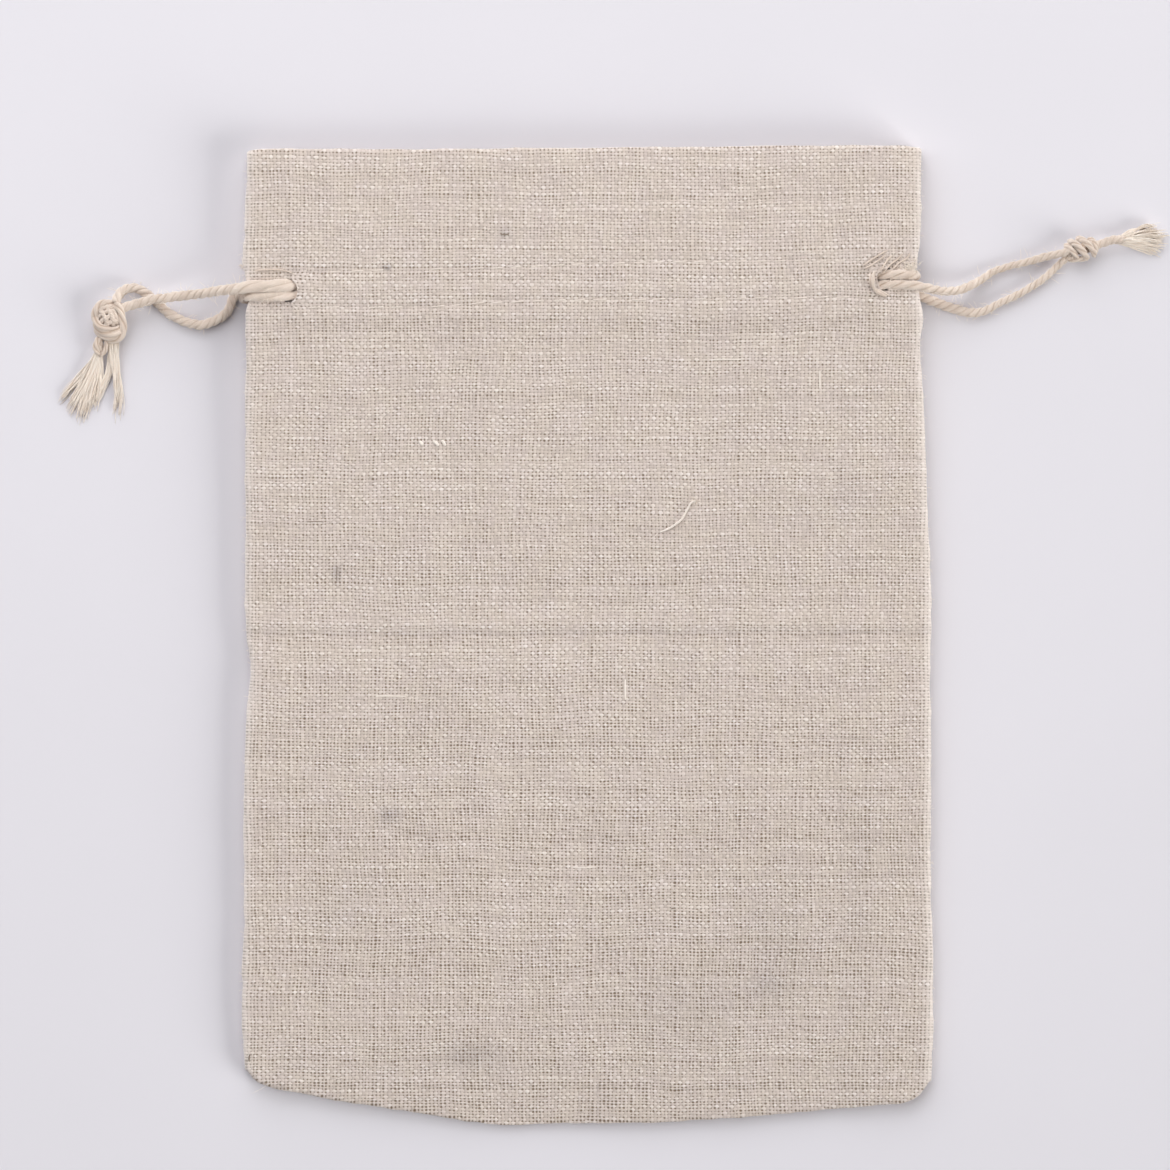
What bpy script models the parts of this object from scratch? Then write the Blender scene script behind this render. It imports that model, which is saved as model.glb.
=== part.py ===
"""Linen drawstring pouch, lying flat and face up with its mouth towards +Y.

The cloth is two panels. Each panel is one sheet: its outer layer, a fold along the mouth, and a facing
that comes back down inside. Between outer layer and facing runs the drawstring channel, with an upright
slit near each side. Two cords run through both channels, one with its ends on the left and one with its
ends on the right. All lengths are in metres. The origin is on the resting surface, under the middle of
the cloth.
"""

import math

import bmesh
import bpy
import numpy as np

MM = 0.001

# Cloth
CLOTH = 1.0 * MM
GAP = 0.3 * MM
FACING_END = 46.2 * MM
FACING_FADE = 7.0 * MM
BOTTOM_FADE = 21.0 * MM
SIDE_POWER = 6

# Cord
CORD = 1.6 * MM
CORD_STEP = 2.4 * CORD

# Drawstring channel: its middle line rises slightly from left to right.
CHANNEL_Y = 50.95 * MM
CHANNEL_RISE = 0.018
CHANNEL_HALF = 2.6 * MM
CORD_SPREAD = 0.95 * MM
STITCH_DIP = 0.45 * MM
STITCH_DIP_WIDTH = 0.8 * MM

# Slits, as shares of the half width, and half their length along Y.
SLIT_IN = 0.853
SLIT_OUT = 0.913
SLIT_HALF = 2.15 * MM

# How far above and below the channel the layers take to close up again.
HEADER_FADE = 17.0 * MM
BODY_FADE = 8.0 * MM

# Heights of the middles of the layers where nothing lies between them.
PITCH = CLOTH + GAP
BACK_OUTER_Z = CLOTH / 2
BACK_FACING_Z = BACK_OUTER_Z + PITCH
FRONT_FACING_Z = BACK_FACING_Z + PITCH
FRONT_OUTER_Z = FRONT_FACING_Z + PITCH
CORD_ROOM = CORD + GAP

# Heights of a cord's middle: on the surface, inside each channel, and on the pouch's face.
Z_FLOOR = CORD / 2
Z_BACK = CLOTH + GAP + CORD / 2
Z_FRONT = FRONT_FACING_Z + CORD_ROOM + CLOTH / 2 + GAP + CORD / 2
Z_FACE = Z_FRONT + CLOTH + GAP

# Side edges of the cloth: y, left x, right x (mm).
SIDES = (
    (-68.0, -50.2, 50.4),
    (-62.0, -50.3, 50.5),
    (-50.0, -50.6, 50.6),
    (-38.0, -50.2, 50.4),
    (-21.0, -50.3, 50.3),
    (-6.0, -49.4, 50.2),
    (4.0, -50.1, 50.2),
    (20.0, -50.1, 49.5),
    (37.0, -50.0, 49.0),
    (46.0, -49.8, 48.6),
    (51.5, -49.7, 48.3),
    (56.0, -50.3, 48.5),
    (60.0, -50.1, 48.8),
    (72.0, -49.8, 48.9),
)

# Bottom edge: share of the half width, y (mm). Both corners are rounded by the seam's turn.
BOTTOM = (
    (-1.0, -64.2),
    (-0.985, -65.2),
    (-0.95, -66.0),
    (-0.91, -66.6),
    (-0.83, -67.3),
    (-0.72, -68.3),
    (-0.55, -69.6),
    (-0.38, -70.9),
    (-0.24, -71.5),
    (0.0, -71.3),
    (0.25, -70.9),
    (0.5, -70.2),
    (0.7, -69.3),
    (0.85, -68.7),
    (0.93, -68.2),
    (0.965, -67.2),
    (1.0, -64.6),
)

# Mouth edge: share of the half width, y (mm).
MOUTH = (
    (-1.0, 70.3),
    (-0.95, 70.8),
    (-0.3, 70.9),
    (0.3, 71.2),
    (0.8, 71.4),
    (0.95, 71.2),
    (1.0, 70.6),
)

# Columns of the panels' grid, as shares of the half width.
HALF_COLUMNS = (0.0, 0.12, 0.24, 0.37, 0.5, 0.62, 0.73, 0.8, SLIT_IN, SLIT_OUT, 0.95, 0.98, 1.0)
COLUMNS = np.array([-c for c in HALF_COLUMNS[:0:-1]] + list(HALF_COLUMNS))

# Rows of the body, from the bottom seam to the lower stitch line, of the header, from the upper stitch line
# to the fold, and of the facing above and below the channel, as shares.
BODY_ROWS = (0.0, 0.012, 0.035, 0.07, 0.13, 0.2, 0.3, 0.42, 0.54, 0.66, 0.77, 0.85, 0.9, 0.94, 0.97)
HEADER_ROWS = (0.0, 0.12, 0.3, 0.55, 0.8)
FACING_TOP_ROWS = (0.4, 1.0)
FACING_END_ROWS = (0.6, 1.0)
FOLD_STEPS = 4

LINEN = (0.62, 0.54, 0.48)
COTTON = (0.77, 0.68, 0.55)

# Route of the cord whose ends leave on the left (mm). Z is given by the names above, in mm.
FLOOR, BACK, FRONT, FACE = (z / MM for z in (Z_FLOOR, Z_BACK, Z_FRONT, Z_FACE))
ROUTE_LEFT = (
    (-67.3, 47.7, 1.9),
    (-65.7, 48.3, 2.4),
    (-63.6, 49.0, 2.9),
    (-61.0, 49.4, 3.3),
    (-58.2, 49.6, 4.1),
    (-54.8, 50.0, 5.8),
    (-52.2, 50.6, 7.3),
    (-49.7, 51.0, FACE),
    (-45.8, 51.1, FACE),
    (-44.0, 51.1, (FACE + FRONT) / 2),
    (-42.2, 51.1, FRONT),
    (-21.0, 51.5, FRONT),
    (0.0, 51.9, FRONT),
    (21.0, 52.3, FRONT),
    (41.3, 52.6, FRONT),
    (43.0, 52.7, (FACE + FRONT) / 2),
    (44.8, 52.7, FACE),
    (47.4, 52.6, FACE),
    (48.9, 52.5, FACE - 0.25),
    (49.9, 52.4, FACE - 1.2),
    (50.3, 52.4, (FACE + FLOOR) / 2),
    (49.9, 52.4, FLOOR + 1.2),
    (48.9, 52.5, FLOOR + 0.25),
    (47.4, 52.6, FLOOR),
    (44.8, 52.7, FLOOR),
    (43.0, 52.7, (FLOOR + BACK) / 2),
    (41.3, 52.6, BACK),
    (21.0, 52.3, BACK),
    (0.0, 51.9, BACK),
    (-21.0, 51.5, BACK),
    (-42.2, 51.1, BACK),
    (-44.0, 51.1, (FLOOR + BACK) / 2),
    (-45.8, 51.1, FLOOR),
    (-48.4, 50.9, FLOOR),
    (-50.6, 50.2, FLOOR),
    (-52.2, 48.9, FLOOR),
    (-53.2, 47.3, FLOOR),
    (-54.4, 46.1, FLOOR),
    (-56.2, 45.4, FLOOR),
    (-58.4, 45.5, FLOOR),
    (-60.5, 46.4, FLOOR),
    (-62.2, 47.7, FLOOR),
    (-64.1, 49.8, FLOOR),
    (-65.8, 50.7, 0.9),
    (-67.5, 50.5, 1.2),
    (-68.8, 49.9, 1.5),
    (-69.3, 49.0, 1.7),
)

# Route of the cord whose ends leave on the right (mm).
ROUTE_RIGHT = (
    (69.3, 56.1, 2.7),
    (67.6, 55.6, 2.0),
    (64.6, 54.6, 1.1),
    (61.4, 53.8, 0.9),
    (58.9, 52.9, 1.1),
    (56.9, 51.7, 1.9),
    (55.0, 50.8, 3.1),
    (53.0, 50.3, 4.7),
    (50.8, 50.4, 6.7),
    (48.9, 50.7, FACE - 0.2),
    (47.0, 50.8, FACE),
    (44.8, 50.8, FACE),
    (43.0, 50.8, (FACE + FRONT) / 2),
    (41.3, 50.7, FRONT),
    (21.0, 50.4, FRONT),
    (0.0, 50.0, FRONT),
    (-21.0, 49.6, FRONT),
    (-42.2, 49.2, FRONT),
    (-44.0, 49.2, (FACE + FRONT) / 2),
    (-45.8, 49.1, FACE),
    (-48.8, 48.6, FACE),
    (-50.2, 48.2, FACE - 0.25),
    (-51.3, 47.8, FACE - 1.2),
    (-51.7, 47.5, (FACE + FLOOR) / 2),
    (-51.3, 47.4, FLOOR + 1.2),
    (-50.2, 47.6, FLOOR + 0.25),
    (-48.8, 48.1, FLOOR),
    (-45.8, 49.1, FLOOR),
    (-44.0, 49.2, (FLOOR + BACK) / 2),
    (-42.2, 49.2, BACK),
    (-21.0, 49.6, BACK),
    (0.0, 50.0, BACK),
    (21.0, 50.4, BACK),
    (41.3, 50.7, BACK),
    (43.0, 50.8, (FLOOR + BACK) / 2),
    (44.8, 50.8, FLOOR),
    (47.0, 50.3, FLOOR),
    (49.3, 49.3, FLOOR),
    (51.3, 48.6, FLOOR),
    (53.6, 47.9, FLOOR),
    (55.9, 47.1, FLOOR),
    (58.0, 47.3, FLOOR),
    (60.4, 48.6, FLOOR),
    (63.2, 49.9, FLOOR),
    (65.6, 51.3, FLOOR),
    (67.5, 52.9, FLOOR),
    (69.1, 54.6, 0.9),
)

# Knots: middle, half sizes and turn about Z. The turns of cord stand out as ridges.
KNOTS = (
    # name, x, y, half length, half width, half height (mm), turn (degrees), ridges
    ("knot_left", -69.9, 45.4, 3.2, 2.4, 1.9, 84.0, 3),
    ("knot_right", 72.2, 56.5, 2.4, 1.6, 1.6, 16.0, 3),
)
KNOT_SIDES = 20
KNOT_RINGS = 13
KNOT_BLUNTNESS = 2.6
KNOT_RIDGE = 0.07
KNOT_SLANT = 0.6
# Share of the half height at which the underside is flat.
KNOT_FLAT = 0.97

# Frayed ends: rows of x, y, half width, half height (mm) from the knot to the tips.
TAILS = {
    "tail_left_fan": (
        (-71.5, 41.8, 0.9, 1.0),
        (-71.7, 40.6, 1.0, 1.0),
        (-72.1, 39.0, 1.1, 0.9),
        (-72.9, 37.0, 1.9, 0.8),
        (-73.7, 34.8, 2.8, 0.6),
        (-74.4, 32.9, 3.3, 0.4),
        (-74.6, 31.9, 2.2, 0.25),
    ),
    "tail_left_straight": (
        (-69.3, 41.8, 0.75, 0.9),
        (-69.2, 40.2, 0.8, 0.85),
        (-69.0, 38.2, 0.7, 0.7),
        (-69.2, 35.9, 0.8, 0.5),
        (-69.0, 33.8, 0.9, 0.35),
        (-68.9, 32.4, 0.5, 0.2),
    ),
    "tail_right": (
        (75.1, 57.4, 0.75, 0.9),
        (76.6, 57.8, 0.8, 0.9),
        (78.3, 58.1, 1.4, 0.9),
        (80.3, 58.2, 2.2, 0.85),
        (82.3, 57.7, 2.6, 0.7),
        (83.9, 57.1, 2.5, 0.5),
        (84.7, 56.8, 1.5, 0.25),
    ),
}
TAIL_SIDES = 14
TAIL_RIDGE = 0.12


def ease(t):
    """0 below 0, 1 above 1, and a smooth step between."""
    t = np.clip(t, 0.0, 1.0)
    return t * t * (3.0 - 2.0 * t)


def through(table, column, at):
    """A smooth curve through a table's first column and one other, read at the given places."""
    x = np.array([row[0] for row in table])
    y = np.array([row[column] for row in table])
    slope = np.gradient(y, x)
    i = np.clip(np.searchsorted(x, at) - 1, 0, len(x) - 2)
    h = x[i + 1] - x[i]
    t = np.clip((at - x[i]) / h, 0.0, 1.0)
    a = (1 + 2 * t) * (1 - t) ** 2 * y[i] + t * t * (3 - 2 * t) * y[i + 1]
    b = t * (1 - t) ** 2 * h * slope[i] - t * t * (1 - t) * h * slope[i + 1]
    return a + b


def width_at(share, y):
    """X of a share of the half width, between the side edges at this y."""
    left = through(SIDES, 1, y / MM) * MM
    right = through(SIDES, 2, y / MM) * MM
    return left + (right - left) * (share + 1) / 2


def channel_middle(share):
    return CHANNEL_Y + CHANNEL_RISE * width_at(share, np.full_like(share, CHANNEL_Y))


def row_lines():
    """Y of each row of a panel's outer layer, from the bottom seam up to the fold, and of its facing."""
    bottom = through(BOTTOM, 1, COLUMNS) * MM
    mouth = through(MOUTH, 1, COLUMNS) * MM
    middle = channel_middle(COLUMNS)
    low, high = middle - CHANNEL_HALF, middle + CHANNEL_HALF
    top = mouth - CLOTH - GAP / 2
    rows = [bottom + (low - bottom) * s for s in BODY_ROWS]
    rows += [low, middle - SLIT_HALF, middle, middle + SLIT_HALF]
    rows += [high + (top - high) * s for s in HEADER_ROWS]
    end = np.full_like(low, FACING_END)
    facing = [top + (high - top) * s for s in FACING_TOP_ROWS]
    facing += [low]
    facing += [low + (end - low) * s for s in FACING_END_ROWS]
    return np.array(rows), top, np.array(facing)


def channel_share(y, share):
    """1 in the channel, fading to 0 at the mouth and below the channel."""
    away = y - channel_middle(share)
    room = CORD_SPREAD + CORD_ROOM / 2
    return ease(1 - (away - room) / HEADER_FADE) * ease(1 + (away + room) / BODY_FADE)


def layer_heights(y, share):
    """Middle heights of the four layers: back outer, back facing, front facing, front outer.

    Inside the channel the outer layers make room for the cords. Beyond the slits the cords are outside, so
    the outer layers close in on the facings by the same amount and the facings stay level."""
    room = CORD_ROOM * channel_share(y, share)
    inside = ease((SLIT_OUT - np.abs(share)) / (SLIT_OUT - SLIT_IN))
    back_outer = BACK_OUTER_Z + room * (1 - inside)
    back_facing = BACK_FACING_Z + room
    front_facing = FRONT_FACING_Z + room
    front_outer = FRONT_OUTER_Z + room * (1 + inside)
    return back_outer, back_facing, front_facing, front_outer


def body_drop(y, share):
    """How far the front sinks below four layers: to two at the side and bottom seams, less over the crown."""
    bottom = through(BOTTOM, 1, share) * MM
    header = ease((y - FACING_END + FACING_FADE) / FACING_FADE)
    side = 1 - np.abs(share) ** SIDE_POWER
    crown = side * np.sqrt(ease((y - bottom) / BOTTOM_FADE))
    return (FRONT_OUTER_Z - BACK_FACING_Z) * (1 - header) * (1 - crown)


def stitch_dip(y, share):
    """The face is drawn in along both stitch lines of the channel."""
    away = np.abs(y - channel_middle(share)) - CHANNEL_HALF
    return STITCH_DIP * np.exp(-((away / STITCH_DIP_WIDTH) ** 2)) * (np.abs(share) < SLIT_OUT)


def panel_sections(front):
    """Two surfaces of the folded sheet, row by row: the one that shows and the one inside the fold."""
    rows, top, facing = row_lines()
    share = np.broadcast_to(COLUMNS, rows.shape)
    heights = layer_heights(rows, share)
    side = 1 if front else -1
    if front:
        outer = heights[3] - body_drop(rows, share) - stitch_dip(rows, share)
    else:
        outer = heights[0]
    near = [(rows[i], outer[i] + side * CLOTH / 2) for i in range(len(rows))]
    far = [(rows[i], outer[i] - side * CLOTH / 2) for i in range(len(rows))]

    pair = layer_heights(top, COLUMNS)[2:] if front else layer_heights(top, COLUMNS)[:2]
    middle = (pair[0] + pair[1]) / 2
    for step in range(FOLD_STEPS + 1):
        turn = math.pi * (0.5 - step / FOLD_STEPS)
        for surface, radius in ((near, CLOTH + GAP / 2), (far, GAP / 2)):
            y = top + radius * math.cos(turn)
            surface.append((y, middle + side * radius * math.sin(turn)))

    share = np.broadcast_to(COLUMNS, facing.shape)
    heights = layer_heights(facing, share)
    inner = heights[2] if front else heights[1]
    near += [(facing[i], inner[i] - side * CLOTH / 2) for i in range(len(facing))]
    far += [(facing[i], inner[i] + side * CLOTH / 2) for i in range(len(facing))]
    return near, far


def add_object(name, mesh, colour, roughness):
    material = bpy.data.materials.new(name + "_material")
    material.use_nodes = True
    shader = material.node_tree.nodes["Principled BSDF"]
    shader.inputs["Base Color"].default_value = (*colour, 1.0)
    shader.inputs["Roughness"].default_value = roughness
    shader.inputs["Metallic"].default_value = 0.0
    mesh.materials.append(material)
    made = bpy.data.objects.new(name, mesh)
    bpy.context.scene.collection.objects.link(made)
    return made


def mesh_from(name, points, faces):
    """A closed mesh with its faces turned outwards."""
    mesh = bpy.data.meshes.new(name)
    mesh.from_pydata([tuple(p) for p in points], [], faces)
    shape = bmesh.new()
    shape.from_mesh(mesh)
    bmesh.ops.recalc_face_normals(shape, faces=shape.faces)
    bmesh.ops.triangulate(shape, faces=shape.faces)
    shape.to_mesh(mesh)
    shape.free()
    mesh.shade_smooth()
    mesh.set_sharp_from_angle(angle=math.radians(50))
    return mesh


def make_panel(name, front):
    """The folded sheet as one closed solid, with its two slits cut through the outer layer."""
    near, far = panel_sections(front)
    rows, columns = len(near), len(COLUMNS)
    points = [
        (float(width_at(share, y[j])), float(y[j]), float(z[j]))
        for surface in (near, far)
        for y, z in surface
        for j, share in enumerate(COLUMNS)
    ]
    slit_row = len(BODY_ROWS) + 1
    slit_rows = (slit_row, slit_row + 1)
    slit_column = HALF_COLUMNS[::-1].index(SLIT_OUT)
    slit_columns = (slit_column, columns - 2 - slit_column)
    cells = {
        (i, j)
        for i in range(rows - 1)
        for j in range(columns - 1)
        if not (i in slit_rows and j in slit_columns)
    }

    def at(surface, i, j):
        return surface * rows * columns + i * columns + j

    faces = []
    for i, j in sorted(cells):
        ring = ((i, j), (i, j + 1), (i + 1, j + 1), (i + 1, j))
        faces.append([at(0, *p) for p in ring])
        faces.append([at(1, *p) for p in reversed(ring)])
        for edge, (di, dj) in enumerate(((-1, 0), (0, 1), (1, 0), (0, -1))):
            if (i + di, j + dj) not in cells:
                a, b = ring[edge], ring[(edge + 1) % 4]
                faces.append([at(0, *b), at(0, *a), at(1, *a), at(1, *b)])
    used = sorted({p for face in faces for p in face})
    renumber = {p: n for n, p in enumerate(used)}
    mesh = mesh_from(name, [points[p] for p in used], [[renumber[p] for p in face] for face in faces])
    return add_object(name, mesh, LINEN, 0.95)


def smooth_route(route):
    """Points on a smooth curve through the route's own points, closer together where those are close."""
    p = np.array(route) * MM
    before = np.vstack([2 * p[0] - p[1], p[:-1]])
    after = np.vstack([p[1:], 2 * p[-1] - p[-2]])
    found = [p[0]]
    for a, b, c, d in zip(before[:-1], p[:-1], p[1:], after[1:]):
        # Tangents are scaled by the span, so that uneven spacing makes no loops.
        span = np.linalg.norm(c - b)
        lead = (c - a) / (span + np.linalg.norm(b - a)) * span
        leave = (d - b) / (span + np.linalg.norm(d - c)) * span
        steps = max(1, round(span / CORD_STEP))
        for step in range(1, steps + 1):
            t = step / steps
            found.append(
                (1 + 2 * t) * (1 - t) ** 2 * b
                + t * (1 - t) ** 2 * lead
                + t * t * (3 - 2 * t) * c
                - t * t * (1 - t) * leave
            )
    return found


def make_cord(name, route):
    points = smooth_route(route)
    curve = bpy.data.curves.new(name, "CURVE")
    curve.dimensions = "3D"
    curve.bevel_depth = CORD / 2
    curve.bevel_resolution = 2
    curve.use_fill_caps = True
    line = curve.splines.new("POLY")
    line.points.add(len(points) - 1)
    for point, place in zip(line.points, points):
        point.co = (*place, 1.0)
    return add_object(name, curve, COTTON, 0.9)


def ring_mesh(name, rings):
    """A closed skin over rings of points, with a fan over each end."""
    rings = [np.asarray(ring) for ring in rings]
    count = len(rings[0])
    points = [p for ring in rings for p in ring] + [rings[0].mean(axis=0), rings[-1].mean(axis=0)]
    faces = []
    for i in range(len(rings) - 1):
        for j in range(count):
            k = (j + 1) % count
            faces.append([i * count + j, i * count + k, (i + 1) * count + k, (i + 1) * count + j])
    last = (len(rings) - 1) * count
    for j in range(count):
        k = (j + 1) % count
        faces.append([len(points) - 2, k, j])
        faces.append([len(points) - 1, last + j, last + k])
    return mesh_from(name, points, faces)


def make_knot(name, x, y, half_length, half_width, half_height, turn, ridges):
    """A blunt egg with slanting ridges where the turns of cord lie, flat underneath where it rests."""
    turn = math.radians(turn)
    around = np.linspace(0.0, 2 * math.pi, KNOT_SIDES, endpoint=False)
    rings = []
    for along in np.linspace(-1.0, 1.0, KNOT_RINGS + 2)[1:-1]:
        girth = math.sqrt(1 - abs(along) ** KNOT_BLUNTNESS)
        ridge = 1 + KNOT_RIDGE * np.cos(ridges * math.pi * along + np.cos(around + KNOT_SLANT))
        lengthwise = half_length * along + 0.0 * around
        across = half_width * girth * ridge * np.cos(around)
        up = half_height * np.maximum(girth * ridge * np.sin(around), -KNOT_FLAT) + half_height * KNOT_FLAT
        rings.append(
            np.stack(
                [
                    x + lengthwise * math.cos(turn) - across * math.sin(turn),
                    y + lengthwise * math.sin(turn) + across * math.cos(turn),
                    up,
                ],
                axis=1,
            )
            * MM
        )
    return add_object(name, ring_mesh(name, rings), COTTON, 0.9)


def make_tail(name, rows):
    """A flattened tuft through its rows, with a ridge for every other yarn."""
    table = np.array(rows)
    middle = table[:, :2]
    ahead = np.gradient(middle, axis=0)
    ahead /= np.linalg.norm(ahead, axis=1)[:, None]
    around = np.linspace(0.0, 2 * math.pi, TAIL_SIDES, endpoint=False)
    yarn = 1 + TAIL_RIDGE * np.where(np.arange(TAIL_SIDES) % 2 == 0, 1.0, -1.0)
    rings = []
    for (x, y, half_width, half_height), (dx, dy) in zip(rows, ahead):
        across = half_width * yarn * np.cos(around)
        up = half_height * (1 + np.sin(around))
        rings.append(np.stack([x - across * dy, y + across * dx, up], axis=1) * MM)
    return add_object(name, ring_mesh(name, rings), COTTON, 0.9)


def main():
    for old in list(bpy.data.objects):
        bpy.data.objects.remove(old, do_unlink=True)
    make_panel("back_panel", front=False)
    make_panel("front_panel", front=True)
    make_cord("drawstring_left", ROUTE_LEFT)
    make_cord("drawstring_right", ROUTE_RIGHT)
    for knot in KNOTS:
        make_knot(*knot)
    for name, rows in TAILS.items():
        make_tail(name, rows)


main()
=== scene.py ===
import math
from functools import partial

import bpy
import numpy as np
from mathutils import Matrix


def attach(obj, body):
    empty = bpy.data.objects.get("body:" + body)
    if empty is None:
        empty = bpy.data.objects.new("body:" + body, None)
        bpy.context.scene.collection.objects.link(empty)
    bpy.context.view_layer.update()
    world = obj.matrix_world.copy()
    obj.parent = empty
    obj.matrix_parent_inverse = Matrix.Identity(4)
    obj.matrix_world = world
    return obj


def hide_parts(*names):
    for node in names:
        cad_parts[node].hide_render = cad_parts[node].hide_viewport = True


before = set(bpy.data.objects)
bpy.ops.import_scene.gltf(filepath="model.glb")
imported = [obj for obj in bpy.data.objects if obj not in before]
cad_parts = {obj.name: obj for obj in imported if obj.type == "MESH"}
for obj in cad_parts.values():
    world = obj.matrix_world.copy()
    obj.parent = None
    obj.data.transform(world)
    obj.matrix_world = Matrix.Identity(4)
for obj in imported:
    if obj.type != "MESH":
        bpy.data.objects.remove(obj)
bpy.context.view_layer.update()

# Shapes are worked out in millimetres and become metres when their mesh is made.
mm = 0.001
pi = math.pi


def linearColour(hexCode):
    # sRGB hex to linear light, with alpha 1
    parts = [int(hexCode[i:i + 2], 16) / 255 for i in (1, 3, 5)]
    return tuple(p / 12.92 if p <= 0.04045 else ((p + 0.055) / 1.055) ** 2.4 for p in parts) + (1.0,)


def plugIn(node, inputs):
    # gives a node's sockets their values, or links them to the nodes and sockets that feed them
    for key, value in inputs.items() if isinstance(inputs, dict) else enumerate(inputs):
        if isinstance(value, bpy.types.Node):
            value = value.outputs[0]
        if isinstance(value, bpy.types.NodeSocket):
            node.id_data.links.new(value, node.inputs[key])
        else:
            node.inputs[key].default_value = value


def addNode(tree, kind, inputs=(), **settings):
    # adds one node with its own settings and whatever is plugged into it
    node = tree.nodes.new("ShaderNode" + kind)
    for field, value in settings.items():
        setattr(node, field, value)
    plugIn(node, inputs)
    return node


def newMaterial(name):
    # a material, the function that adds nodes to it, and its shader
    material = bpy.data.materials.new(name)
    material.use_nodes = True
    tree = material.node_tree
    return material, partial(addNode, tree), tree.nodes["Principled BSDF"]


def easeStep(t):
    # 0 below 0, 1 above 1, smooth between
    t = np.clip(t, 0.0, 1.0)
    return t * t * (3.0 - 2.0 * t)


def cubicThrough(x, y, slope, at):
    # the cubic from each x to the next that has the given heights and slopes at both
    i = np.clip(np.searchsorted(x, at) - 1, 0, len(x) - 2)
    h = x[i + 1] - x[i]
    t = np.clip((at - x[i]) / h, 0.0, 1.0)
    low = (1 + 2 * t) * (1 - t) ** 2 * y[i] + t * t * (3 - 2 * t) * y[i + 1]
    return low + t * (1 - t) ** 2 * h * slope[i] - t * t * (1 - t) * h * slope[i + 1]


def readTable(table, at, column=1):
    # a smooth curve through the rows' first value and another. Each slope is the harmonic mean of the two
    # straight ones beside it, and 0 where they point different ways, so the curve never swings past its rows.
    rows = np.array(table, float)
    x, y = rows[:, 0], rows[:, column]
    straight = np.diff(y) / np.diff(x)
    product = straight[1:] * straight[:-1]
    total = straight[1:] + straight[:-1]
    inner = np.where(product > 0, 2 * product / np.where(np.abs(total) > 1e-12, total, 1.0), 0.0)
    return cubicThrough(x, y, np.concatenate([straight[:1], inner, straight[-1:]]), at)


def unit(v):
    # arrows of length 1 along the last axis
    return v / np.maximum(np.linalg.norm(v, axis=-1, keepdims=True), 1e-12)


def smoothLine(points, spacing):
    # evenly spaced points on a smooth curve: a cubic through the given ones over their running length
    p = np.array(points, float)
    run = np.concatenate([[0.0], np.cumsum(np.linalg.norm(np.diff(p, axis=0), axis=1))])
    fine = np.linspace(0.0, run[-1], int(run[-1] / spacing) * 4 + 8)
    slopes = np.gradient(p, run, axis=0)
    dense = np.stack([cubicThrough(run, p[:, k], slopes[:, k], fine) for k in range(3)], 1)
    length = np.concatenate([[0.0], np.cumsum(np.linalg.norm(np.diff(dense, axis=0), axis=1))])
    even = np.linspace(0.0, length[-1], max(6, int(round(length[-1] / spacing)) + 1))
    return np.stack([np.interp(even, length, dense[:, k]) for k in range(3)], 1)


def softNoise(rng, count, reach):
    # smooth random values along a line: white noise times a bell of the given reach, over the root of the
    # sum of the bell's squares, so that they spread by about 1
    bell = np.exp(-0.5 * (np.arange(-3 * reach, 3 * reach + 1) / reach) ** 2)
    smooth = np.convolve(rng.normal(size=count + 2 * len(bell)), bell, mode="same")
    return smooth[len(bell):len(bell) + count] / math.sqrt((bell ** 2).sum())


def makePiece(name, points, faces, material, uv, layers, sharp=None):
    # faces is a list of whole-number arrays, one for each count of corners; uv has a row for each corner
    points = np.asarray(points, float).reshape(-1, 3) * mm
    mesh = bpy.data.meshes.new(name)
    corners = np.concatenate([f.reshape(-1) for f in faces])
    sizes = np.concatenate([np.full(len(f), f.shape[1]) for f in faces])
    mesh.vertices.add(len(points))
    mesh.vertices.foreach_set("co", points.ravel().astype(np.float32))
    mesh.loops.add(len(corners))
    mesh.loops.foreach_set("vertex_index", corners.astype(np.int32))
    mesh.polygons.add(len(sizes))
    mesh.polygons.foreach_set("loop_start", (np.cumsum(sizes) - sizes).astype(np.int32))
    mesh.uv_layers.new(name="thread").data.foreach_set("uv", np.asarray(uv, float).ravel().astype(np.float32))
    for key, values in layers.items():
        attribute = mesh.attributes.new(key, "FLOAT", "POINT")
        attribute.data.foreach_set("value", np.asarray(values, float).ravel().astype(np.float32))
    mesh.update(calc_edges=True)
    mesh.validate()
    mesh.shade_smooth()
    if sharp:
        mesh.set_sharp_from_angle(angle=math.radians(sharp))
    mesh.materials.append(material)
    piece = bpy.data.objects.new(name, mesh)
    bpy.context.scene.collection.objects.link(piece)
    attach(piece, "root")
    return piece


def framesAlong(line, lean):
    # at each point: ahead along the line, sideways as near to lean as it allows, and upwards, square to both
    ahead = unit(np.gradient(line, axis=-2))
    lean = np.broadcast_to(np.asarray(lean, float), line.shape)
    sideways = unit(lean - (lean * ahead).sum(-1, keepdims=True) * ahead)
    return ahead, sideways, np.cross(ahead, sideways)


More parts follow.
